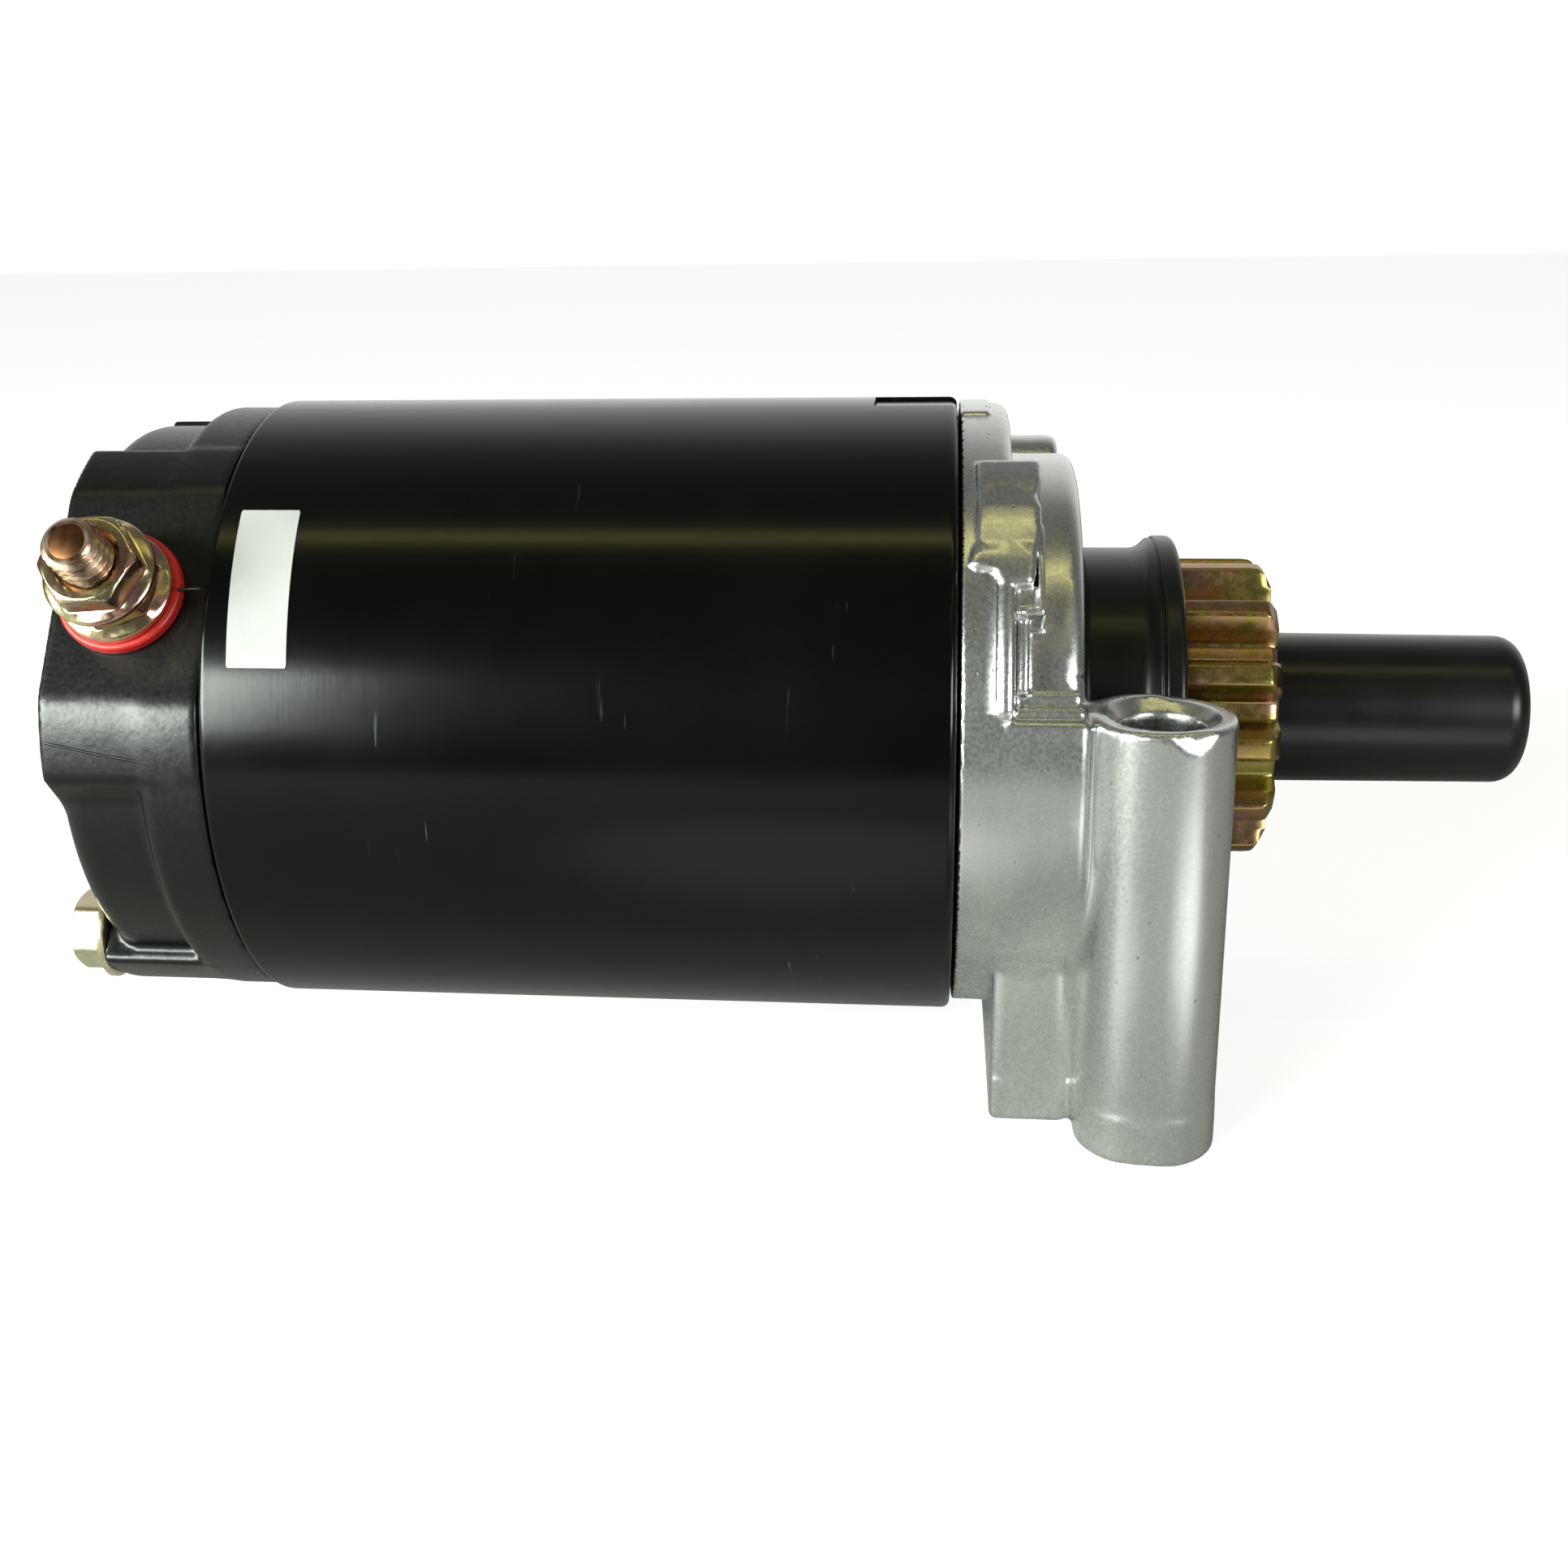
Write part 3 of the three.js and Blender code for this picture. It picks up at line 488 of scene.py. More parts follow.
def zinc(name, stops, scale, roughness):
    """Chromate-dipped zinc plate, whose colour drifts between the given tints."""
    s = Shader(name, metallic=1.0)
    drift = s.noise(scale, 3.0, 0.6)
    stain = s.noise(scale * 5, 5.0, 0.65)
    colour = s.ramp(s.spread(s.math("ADD", drift, s.math("MULTIPLY", stain, 0.35)), 0, 1, 0.3, 1.0), stops)
    s.bump((stain, 4e-6), (s.noise(4000, 3.0), 3e-6))
    return s.set(Base_Color=colour, Roughness=s.spread(stain, roughness, roughness + 0.14, 0.3, 0.7))


def drifting(name, tint, dark, light, shine, relief, gloss=None, **settings):
    """A surface whose colour drifts from dark to light with one noise and whose gloss drifts with another.

    dark and light are (position, colour) stops, relief is (noise, depth in metres) layers, and each noise is
    (scale, detail, roughness, stretch), cut off where the rest is as usual."""
    s = Shader(name, **settings)
    s.bump(*[(s.noise(*noise), depth) for noise, depth in relief])
    return s.set(Base_Color=s.ramp(s.noise(*tint), [dark, light]),
                 Roughness=s.spread(s.noise(*(gloss or tint)), *shine, 0.3, 0.7))


def bare_metal(name, dark, light, roughness, rings=1400.0, relief=3e-6):
    """A machined metal with tool rings round the shaft and a little tarnish."""
    tool = (1.0, 3.0, 0.55, (rings, 40, 40))
    return drifting(name, (180, 5.0, 0.6), (0.3, dark), (0.7, light), (roughness, roughness + 0.12),
                    [(tool, relief), ((2600, 2.0), 2e-6)], tool, metallic=1.0)


def mineral(name, dark, light, roughness, grain):
    """A pressed or moulded material with a fine grain: ferrite, carbon, phenolic or rubber."""
    speckle = (grain, 5.0, 0.7)
    return drifting(name, speckle, (0.35, dark), (0.65, light), (roughness, roughness + 0.15),
                    [(speckle, 2e-5), ((grain / 8, 3.0), 3e-5)])


def stud_copper():
    """Copper-flashed steel, browned in places."""
    s = Shader("copper_flashed_steel", metallic=1.0)
    drift = s.noise(420, 4.0, 0.6)
    s.bump((s.noise(2600, 3.0), 6e-6))
    return s.set(Base_Color=s.ramp(drift, [(0.3, (0.20, 0.10, 0.045)), (0.5, (0.34, 0.22, 0.14)),
                                           (0.7, (0.50, 0.38, 0.30))]),
                 Roughness=s.spread(drift, 0.2, 0.36, 0.3, 0.7))


def enamelled_wire():
    """Wound copper wire under amber enamel, its strands running along the shaft."""
    s = Shader("enamelled_copper_wire", metallic=0.8)
    strands = s.wave((60, 900, 900), "Y", Distortion=2.5, Detail=2.0)
    s.bump((strands, 1.2e-4))
    return s.set(Base_Color=s.ramp(strands, [(0.2, (0.16, 0.05, 0.02)), (0.8, (0.55, 0.22, 0.09))]),
                 Roughness=s.spread(strands, 0.28, 0.4))


def copper_braid():
    s = Shader("copper_braid", metallic=1.0)
    weave = s.wave((1800, 1800, 1800), "DIAGONAL", Distortion=4.0)
    s.bump((weave, 8e-5))
    copper = s.ramp(weave, [(0.2, (0.30, 0.12, 0.06)), (0.8, (0.72, 0.36, 0.20))])
    return s.set(Base_Color=copper, Roughness=0.4)


def laminations():
    """A stack of thin steel sheets, seen on edge along the shaft."""
    s = Shader("steel_laminations", metallic=1.0)
    sheets = s.wave((1, 0.02, 0.02), "X", 320.0, Distortion=0.3)
    s.bump((sheets, 5e-5))
    return s.set(Base_Color=s.ramp(sheets, [(0.3, (0.14, 0.145, 0.15)), (0.8, (0.42, 0.42, 0.43))]),
                 Roughness=s.spread(sheets, 0.5, 0.32))


MATERIALS = {
    "satin_paint": satin_paint(),
    "cast_paint": cast_paint(),
    "aluminium": cast_aluminium(),
    "nut_zinc": zinc("yellow_zinc_plating", [
        (0.08, (0.34, 0.38, 0.16)), (0.35, (0.60, 0.54, 0.28)), (0.55, (0.58, 0.44, 0.26)),
        (0.72, (0.52, 0.26, 0.24)), (0.9, (0.50, 0.46, 0.32))], 260, 0.12),
    "bolt_zinc": zinc("pale_zinc_plating", [
        (0.15, (0.62, 0.64, 0.40)), (0.5, (0.86, 0.80, 0.55)), (0.85, (0.80, 0.66, 0.42))], 200, 0.18),
    "pinion_zinc": zinc("pinion_chromate", [
        (0.05, (0.17, 0.20, 0.07)), (0.3, (0.27, 0.25, 0.07)), (0.5, (0.33, 0.23, 0.07)),
        (0.68, (0.37, 0.22, 0.12)), (0.9, (0.36, 0.22, 0.19))], 170, 0.2),
    "stud": stud_copper(),
    "red": drifting("red_insulator", (900, 5.0, 0.65), (0.3, (0.32, 0.008, 0.005)),
                    (0.7, (0.46, 0.016, 0.010)), (0.32, 0.48), [((900, 5.0, 0.65), 1.5e-5)], ior=1.5),
    "label": drifting("white_label", (90, 4.0), (0.35, (0.33, 0.33, 0.325)), (0.7, (0.38, 0.38, 0.37)),
                      (0.5, 0.65), [((1600, 6.0, 0.7), 4e-6)], (1600, 6.0, 0.7)),
    "plastic": drifting("moulded_black_plastic", (70, 4.0), (0.3, (0.0012, 0.0014, 0.0016)),
                        (0.7, (0.0022, 0.0025, 0.0028)), (0.24, 0.33),
                        [((520, 3.0), 9e-6), ((3000, 2.0), 1.5e-6)], ior=1.42),
    "cup": drifting("blackened_steel_cup", (110, 4.0), (0.3, (0.0008, 0.0011, 0.0008)),
                    (0.7, (0.0018, 0.0020, 0.0017)), (0.26, 0.36),
                    [((1.0, 4.0, 0.6, (1800, 25, 25)), 2.5e-6), ((900, 3.0), 6e-6)], ior=1.42),
    "steel": bare_metal("turned_steel", (0.40, 0.40, 0.41), (0.58, 0.58, 0.58), 0.24),
    "spring": bare_metal("spring_steel", (0.25, 0.25, 0.27), (0.45, 0.45, 0.46), 0.28, 300.0),
    "stud_end": bare_metal("stud_end_oxide", (0.035, 0.016, 0.008), (0.13, 0.06, 0.025), 0.34, 700.0, 8e-6),
    "bronze": bare_metal("sintered_bronze", (0.30, 0.20, 0.09), (0.50, 0.36, 0.17), 0.42, 900.0, 8e-6),
    "commutator": bare_metal("commutator_copper", (0.50, 0.22, 0.12), (0.80, 0.42, 0.26), 0.26, 2400.0),
    "ferrite": mineral("ferrite", (0.030, 0.031, 0.034), (0.075, 0.076, 0.08), 0.55, 1800.0),
    "carbon": mineral("copper_carbon", (0.035, 0.028, 0.025), (0.11, 0.075, 0.06), 0.6, 2400.0),
    "phenolic": mineral("brown_phenolic", (0.045, 0.022, 0.012), (0.10, 0.052, 0.028), 0.42, 1200.0),
    "rubber": mineral("moulded_rubber", (0.010, 0.010, 0.010), (0.022, 0.021, 0.020), 0.7, 1500.0),
    "winding": enamelled_wire(),
    "braid": copper_braid(),
    "lamination": laminations(),
}


def finish_piece(piece, material, slot, *nodes, body="housing"):
    """Gives a new piece its material, the nodes it stands for and the CAD body it rides on; the slot is not used."""
    piece.data.materials.append(MATERIALS[material])
    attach(piece, body)
    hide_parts(*nodes)


# ---- frame tube and label ----


def make_frame_tube():
    """The rolled tube, with eased rims and a shallow locating slot at the top of its front rim."""
    slot = {"rear": -9.0, "from": 84.0, "to": 96.0, "depth": 0.55}
    outline = rounded_path([
        [TUBE_REAR, TUBE_INNER, 0.3], [TUBE_REAR, TUBE_RADIUS, 0.7],
        [slot["rear"], TUBE_RADIUS, 0], [slot["rear"] + 0.2, TUBE_RADIUS, 0],
        [TUBE_FRONT, TUBE_RADIUS, 0.9], [TUBE_FRONT, TUBE_INNER, 0.3]])
    columns = np.sort(np.concatenate([
        np.arange(0, 360, 2.0) + 1.0,
        [slot["from"] - 0.2, slot["from"] + 0.2, slot["to"] - 0.2, slot["to"] + 0.2]]))
    in_slot = (columns > slot["from"]) & (columns < slot["to"])
    rings = []
    for x, radius in outline:
        sunk = slot["depth"] if x > slot["rear"] + 0.1 and radius > TUBE_INNER + 1 else 0.0
        rings.append(ring_at(x, np.where(in_slot, radius - sunk, radius), columns))
    piece = loft("frame_tube_skin", rings, torus=True)
    finish_piece(piece, "satin_paint", "black_paint", "frame_tube")


def make_label():
    """A blank paper label bent round the tube, a little askew, with small rounded corners."""
    (rear, *_), (front, *_) = span("blank_label")
    first, last = 20.7, 49.6
    thickness, lift, skew, corner = 0.14, 0.03, -0.55, 0.12
    length = math.radians(last - first) * TUBE_RADIUS
    across = np.linspace(0, 1, 15)
    rings = []
    for t in np.linspace(0, 1, 61):
        inside = min(t * length, (1 - t) * length, corner)
        pull = corner - math.sqrt(max(corner ** 2 - (corner - inside) ** 2, 0))
        x = rear + pull - skew / 2 + (front - rear + skew - 2 * pull) * across + skew * (t - 0.5)
        angle = np.full(len(x), first + (last - first) * t)
        under, over = (np.column_stack([x, *polar(TUBE_RADIUS + height, angle)])
                       for height in (lift, lift + thickness))
        rings.append(np.vstack([under, over[::-1]]))
    finish_piece(loft("blank_paper_label", rings), "label", "label_white", "blank_label")


# ---- commutator end cap ----


def bolt_holes(field, rear, front):
    for angle in BOLT_ANGLES:
        field.cut(rod(BOLT["hole"], rear, front, centre=polar(BOLT_CIRCLE, angle)))


def make_end_cap():
    """The die-cast end cap: a stepped cup with a raised lobe under the terminal and two bolt lugs."""
    seam, spigot_front = TUBE_REAR - GAP, TUBE_REAR + 2.5
    reach, grid_step = 38.0, 0.42
    field = Field((BOLT["seat"], -reach, -reach), (spigot_front, reach, reach), grid_step)

    def drum(x, y, z):
        rho = np.hypot(y, z)
        body = np.maximum(within(rho - CAP["drum"], CAP["rear"] - x, fillet=3.0), x - seam)
        skirt = np.maximum(within(rho - CAP["skirt"], CAP["step"] - x, fillet=1.6), x - seam)
        return blended(body, skirt, 1.4)

    def lobe(x, y, z):
        rho = np.hypot(y, z)
        under = -0.748 * (y + CAP["skirt"]) - 0.664 * (z - 0.4)          # the slanted lower side
        block = within(rho - CAP["skirt"], LOBE["rear"] - x, arc_slab(y, z, *LOBE["span"]), under,
                       LOBE["inner"] - rho, fillet=0.6)
        return np.maximum(block, x - seam + 0.5)

    field.add(drum)
    field.add(lobe, blend=0.6)
    for angle in BOLT_ANGLES:
        def lug(x, y, z, angle=angle):
            rho = np.hypot(y, z)
            block = within(rho - CAP["skirt"] + 0.2, BOLT["seat"] - x, arc_slab(y, z, angle - 12, angle + 8),
                           BOLT_CIRCLE - 6 - rho, fillet=0.7)
            return np.maximum(block, x - seam + 0.5)
        field.add(lug, blend=0.7)
    field.add(rod(TUBE_INNER - GAP, seam - 3, spigot_front, 0.3))

    y_out, z_out = polar(1.0, TERMINAL["angle"])
    y_side, z_side = polar(1.0, TERMINAL["angle"] + 90)
    field.cut(lambda x, y, z: np.maximum(TERMINAL["seat"] - (y * y_out + z * z_out), x - seam - 0.05),
              blend=0.4)
    inner_boss, boss_front, bushing_rear = 10.7, -94.2, -101.5
    field.cut(lambda x, y, z: within(np.hypot(y, z) - CAP["cavity"], CAP["floor"] - x, fillet=1.0))
    field.add(rod(inner_boss, CAP["rear"] + 1, boss_front, 0.5), blend=1.0)
    field.cut(rod(BUSHING_OUTER, bushing_rear, boss_front + 2))
    hole = TERMINAL["thread"] + 1.4
    field.cut(lambda x, y, z: within(np.hypot(x - TERMINAL["x"], y * y_side + z * z_side) - hole,
                                     25 - (y * y_out + z * z_out)))
    bolt_holes(field, BOLT["seat"] - 2, spigot_front + 2)
    finish_piece(field.make("end_cap_casting"), "cast_paint", "black_paint", "end_cap")
    lines = {
        "end_cap_flash": [(-101.2, 7.5), (-95.0, 5.6), (-89.0, 4.1)],
        "end_cap_flash_end": [(-85.3, 2.6), (-84.3, 2.4)],
        "end_cap_timing_line": [(-86.2, 34.7), (-83.6, 34.9)]}
    for name, path in lines.items():
        ridge(name, path, CAP["skirt"] + 0.02, 0.09, 0.16, "cast_paint", "black_paint")


# ---- terminal ----


def thread_rings(low, high, radius, pitch, place, tip_chamfer, around=96):
    """Rings of a threaded rod from low to high, chamfered at its far end."""
    crest = 0.62 * pitch
    heights = np.append(np.arange(low, high, pitch / 18), high)
    columns = np.arange(around) * 360 / around

    def reach(i, angle):
        phase = (heights[i] / pitch - angle / 360) % 1.0
        flank = np.clip(np.abs(phase * 2 - 1) * 1.25 - 0.12, 0, 1)
        thread = radius - crest * (1 - flank)
        limit = radius - tip_chamfer + (high - heights[i]) * 1.1
        return np.minimum(thread, limit)
    return rings_from(reach, heights, columns, place), columns


def end_rings(height, radii, columns, place):
    """Flat rings that close an end, from the first radius in to the last."""
    return rings_from(lambda i, angle: np.full(len(angle), radii[i]), [height] * len(radii), columns, place)


def make_stud():
    """The threaded stud with its chamfered, oxidised end and the square head inside the cap."""
    place = radial_frame(TERMINAL["x"], TERMINAL["angle"])
    thread, tip, chamfer = TERMINAL["thread"], TERMINAL["tip"], 0.75
    flat = thread - chamfer
    rings, columns = thread_rings(31.5, tip, thread, TERMINAL["pitch"], place, chamfer)
    shank = end_rings(29.0, [0.2, thread - 0.3], columns, place)
    shank += end_rings(31.2, [thread - 0.3], columns, place)
    end = end_rings(tip, [flat - 0.1, flat - 0.25, flat / 2, 0.2], columns, place)
    finish_piece(loft("terminal_stud_thread", shank + rings + end, sharp=32), "stud", "terminal_copper")
    disc = []
    for height, radius in ((tip - 0.4, flat - 0.45), (tip, flat - 0.4), (tip + 0.03, flat - 0.45)):
        disc += end_rings(height, [radius], columns, place)
    finish_piece(loft("terminal_stud_end", disc), "stud_end", "terminal_copper")

    half, low, high = 4.0, 28.1, 30.3
    outline = rounded_path([[a * half, b * half, 0.6] for a, b in ((1, 1), (-1, 1), (-1, -1), (1, -1))])
    rings = []
    for height, shrink in ((low, 0.3), (low + 0.3, 0), (high - 0.3, 0), (high, 0.3)):
        scaled = outline * (1 - shrink / half)
        rings.append(place(np.column_stack([np.full(len(outline), height), scaled])))
    finish_piece(loft("terminal_stud_head", rings), "stud", "terminal_copper", "terminal_stud")


def make_insulator():
    """The red washer under the nuts, softly rounded at its rim."""
    place = radial_frame(TERMINAL["x"], TERMINAL["angle"])
    low, inner, outer = TERMINAL["seat"] + 0.05, TERMINAL["thread"] + 0.2, 7.3
    high = low + 1.55
    path = rounded_path([[low, inner, 0.1], [low, outer, 0.35], [high, outer, 0.5], [high, inner, 0.1]])
    columns = np.arange(120) * 3.0
    rings = rings_from(lambda i, angle: np.full(len(angle), path[i][1]), path[:, 0], columns, place)
    piece = loft("red_insulating_washer", rings, torus=True)
    finish_piece(piece, "red", "red_insulator", "terminal_insulator")


def hexagon_reach(angle, across, corner):
    """The radius of a hexagon at an angle, with its corners cut by a circle."""
    away = np.radians((angle + 30) % 60 - 30)
    flat = across / 2 / np.cos(away)
    return blended(flat, np.full(len(flat), corner), 0.25)


def hex_rings(low, high, flange, flange_thick, across, turn, place, dome=0.0):
    """Rings of a flanged hexagon from its lower face, out over the flange and up to its chamfered top."""
    columns = np.arange(240) * 1.5
    corner = across / math.sqrt(3) - 0.12
    top_reach = across / 2 * 0.96
    heights, radii = [], []

    def ring(height, reach):
        heights.append(height)
        radii.append(reach)
    hexagon = hexagon_reach(columns - turn, across, corner)
    edge = low + flange_thick * 0.75
    for height, inset in ((low, 0.25), (low + 0.08, 0.07), (low + 0.25, 0), (edge, 0), (edge + 0.12, 0.12)):
        ring(height, np.full(len(columns), flange - inset))
    foot = low + flange_thick
    for t in (0.25, 0.6, 0.85, 1.0):
        ring(edge + 0.12 + (foot - edge + 0.25) * t, flange - 0.12 + (hexagon + 0.18 - flange + 0.12) * t)
    ring(foot + 0.42, hexagon + 0.03)
    ring(foot + 0.7, hexagon)
    for height in np.linspace(high - 1.0, high - 0.04, 9):
        limit = top_reach + (high - height) / math.tan(math.radians(32))
        ring(height, blended(hexagon, np.full(len(columns), limit), 0.12))
    ring(high, np.full(len(columns), top_reach - 0.1))
    if dome:
        for t in (0.75, 0.45, 0.15):
            ring(high + dome * (1 - t * t), np.full(len(columns), top_reach * t))
    return rings_from(lambda i, angle: radii[i], heights, columns, place), columns


def make_nut(node, name, low, high, flange, flange_thick, turn):
    """A flanged hexagon nut on the stud."""
    place = radial_frame(TERMINAL["x"], TERMINAL["angle"])
    across, bore = 10.0, TERMINAL["thread"] + 0.05
    rings, columns = hex_rings(low, high, flange, flange_thick, across, turn, place)
    for height, radius in ((high, bore + 0.7), (high - 0.6, bore), (low + 0.4, bore), (low, bore + 0.4)):
        rings += end_rings(height, [radius], columns, place)
    finish_piece(loft(name, rings, torus=True, sharp=36), "nut_zinc", "yellow_zinc", node)


# ---- through bolts ----


def make_through_bolt(index, angle):
    """A long bolt with a flanged hexagon head at the end cap and a threaded tip in the casting."""
    y, z = polar(BOLT_CIRCLE, angle)
    shift = offset_frame(y, z)
    flip = lambda points: shift(np.asarray(points) * np.array([-1, 1, 1]))
    dome = 0.2
    rings, columns = hex_rings(-BOLT["seat"] + 0.05, -BOLT["head"] - dome, BOLT["flange"],
                               BOLT["flange_thick"], BOLT["across"], angle + 14, flip, dome)
    seat = end_rings(-BOLT["seat"] + 0.05, [BOLT["shank"] + 0.2], columns, flip)
    shank = end_rings(-BOLT["seat"] - 0.2, [BOLT["shank"]], columns, flip)
    thread_start = -6.0
    neck = end_rings(-thread_start, [BOLT["shank"]], columns, flip)
    thread, _ = thread_rings(thread_start, BOLT["tip"], BOLT["shank"], 0.9, shift, 0.5, around=len(columns))
    body = rings[::-1] + seat + shank + neck + thread
    body += end_rings(BOLT["tip"], [BOLT["shank"] - 0.8, 0.2], columns, shift)
    piece = loft(f"through_bolt_{index}_plated", body, sharp=36)
    finish_piece(piece, "bolt_zinc", "yellow_zinc", f"through_bolt_{index}")


# ---- drive-end casting ----


def add_shell(field):
    """The flange against the tube, the nose disc, the heavy wall below them and the spigot."""
    front, seat, wall, skirt = CASTING["front"], CASTING["seat"], WALL["radius"], CASTING["skirt"]
    nose = CASTING["nose"]
    field.add(lambda x, y, z: np.maximum(within(np.hypot(y, z) - nose, x - front, fillet=2.0), seat - x))
    field.add(lambda x, y, z: np.maximum(within(
        np.hypot(y, z) - wall - (skirt - wall) * np.clip((z - 6) / 5, 0, 1), x - CASTING["skirt_front"],
        fillet=1.7), seat - x), blend=1.0)
    field.add(lambda x, y, z: np.maximum(
        within(np.hypot(y, z) - wall, x - front, z - WALL["top"], fillet=0.9), seat - x))
    field.add(rod(TUBE_INNER - GAP, CASTING["spigot"], seat + 3, 0.3))


LUG_OUTLINE = [               # angle, rear x, front x and radius of the lug, from its lower end up
    (36.0, 5.2, 9.0, 37.75), (38.6, 4.6, 9.1, 37.85), (39.4, 1.9, 9.15, 37.9), (41.5, 2.2, 9.3, 37.95),
    (44.0, 2.8, 9.55, 37.75), (48.0, 2.8, 9.9, 37.95), (51.0, 2.85, 9.9, 38.05), (54.0, 2.85, 9.45, 37.9),
    (57.5, 2.8, 9.95, 38.1), (62.5, 2.8, 10.0, 38.1)]


def add_lug(field):
    """The cast lug on the near shoulder: a waisted pad, a rimmed step below it and two upright ribs."""
    inner = 27.5

    def block(first, last, radius, rear, front, fillet=0.8, blend=0.4):
        def shape(x, y, z):
            rho = np.hypot(y, z)
            return within(rho - radius, slab(x, rear, front), arc_slab(y, z, first, last), inner - rho,
                          fillet=fillet)
        y0, z0 = polar(radius, (first + last) / 2)
        field.add(shape, ((rear, y0 - 12, z0 - 12), (front, y0 + 12, z0 + 12)), blend)

    angles, rears, fronts, radii = np.array(LUG_OUTLINE).T

    def pad(x, y, z):
        turn, rho = turn_of(y, z), np.hypot(y, z)
        rear, front, radius = (np.interp(turn, angles, row) for row in (rears, fronts, radii))
        return within(rho - radius, slab(x, rear, front), arc_slab(y, z, angles[0], angles[-1]), inner - rho,
                      fillet=0.75)
    y0, z0 = polar(38, 49)
    field.add(pad, ((1.5, y0 - 12, z0 - 12), (10.5, y0 + 12, z0 + 10)), 0.3)
    block(31.0, 36.5, 36.6, 6.2, 9.9, 0.4)            # the sunk step
    block(31.0, 48.0, 37.3, 9.45, 10.2, 0.35, 0.25)   # its rim
    block(31.0, 32.3, 37.2, 7.5, 10.2, 0.3, 0.2)
    block(13.5, 38.0, 37.62, 4.9, 7.1, 1.0, 0.2)      # the ribs
    block(17.5, 33.0, 36.2, 7.3, 8.6, 0.6, 0.3)
    block(15.5, 18.3, 35.2, 7.0, 14.2, 0.4, 0.3)      # ledges over the wall
    block(12.0, 15.6, 36.2, 7.0, 14.6, 0.5, 0.3)


def add_far_side(field):
    """The bolt boss on the far shoulder and the thin ledges on the flange's top and far side."""
    by, bz = polar(BOLT_CIRCLE, BOLT_ANGLES[1])
    seat, front = CASTING["seat"], CASTING["front"]
    boss_radius, ledge_radius, ledge_front = 5.2, 37.75, 4.6
    field.add(lambda x, y, z: within(np.hypot(y - by, z - bz) - boss_radius, x - front + 1, seat - x,
                                     fillet=1.2),
              ((1, by - 6, bz - 6), (front, by + 6, bz + 6)), 1.5)
    for middle in (90.0, 130.0):
        y0, z0 = polar(37, middle)
        field.add(lambda x, y, z: within(np.hypot(y, z) - ledge_radius, slab(x, seat, ledge_front),
                                         arc_slab(y, z, middle - 9, middle + 9), fillet=0.35),
                  ((1, y0 - 8, z0 - 8), (5, y0 + 8, min(z0 + 8, 38))), 0.2)


LIP = {"top": -37.4, "proud": 0.1}          # the foot and the tubes stand proud below this height


def lip_of(z):
    return np.where(z < LIP["top"], 0.0, LIP["proud"])


def add_mounts(field):
    """The foot block and the two vertical mounting tubes, webbed to the wall."""
    for side in (-1, 1):
        cy = side * MOUNT["y"]
        near, far = sorted((side * 15, side * 39))
        region = (FOOT["rear"], near, FOOT["bottom"]), (31.5, far, 9)

        def web(x, y, z):
            front_face = 33.2 + 0.14 * np.minimum(z, 0.0)
            across = np.maximum(y * side - front_face, 24.0 - y * side)
            return within(across, slab(x, FOOT["front"], MOUNT["x"]),
                          slab(z, FOOT["bottom"], MOUNT["top"] - 0.6), fillet=0.5)

        def tube(x, y, z):
            lip = lip_of(z)
            across, along = x - MOUNT["x"], (y - cy) * side
            round_side = np.hypot(across, along) - MOUNT["outer"] + lip
            facet = along * 0.995 - across * 0.10 - MOUNT["outer"] + 0.45 + lip
            section = -blended(-round_side, -facet, 0.8)
            top = within(section, z - MOUNT["top"], fillet=0.6)
            return np.maximum(top, within(section, FOOT["bottom"] - z, fillet=0.5))
        field.add(web, region, 1.6)
        field.add(tube, region, 2.4)


def add_foot(field):
    def block(x, y, z):
        lip = lip_of(z)
        return within(np.abs(y) - FOOT["half"] + lip, slab(x, FOOT["rear"], FOOT["front"]) + lip * 0.5,
                      slab(z, FOOT["bottom"], FOOT["top"]), fillet=0.9)
    half = FOOT["half"]
    field.add(block, ((FOOT["rear"], -half, FOOT["bottom"]), (FOOT["front"], half, FOOT["top"])), 0.6)


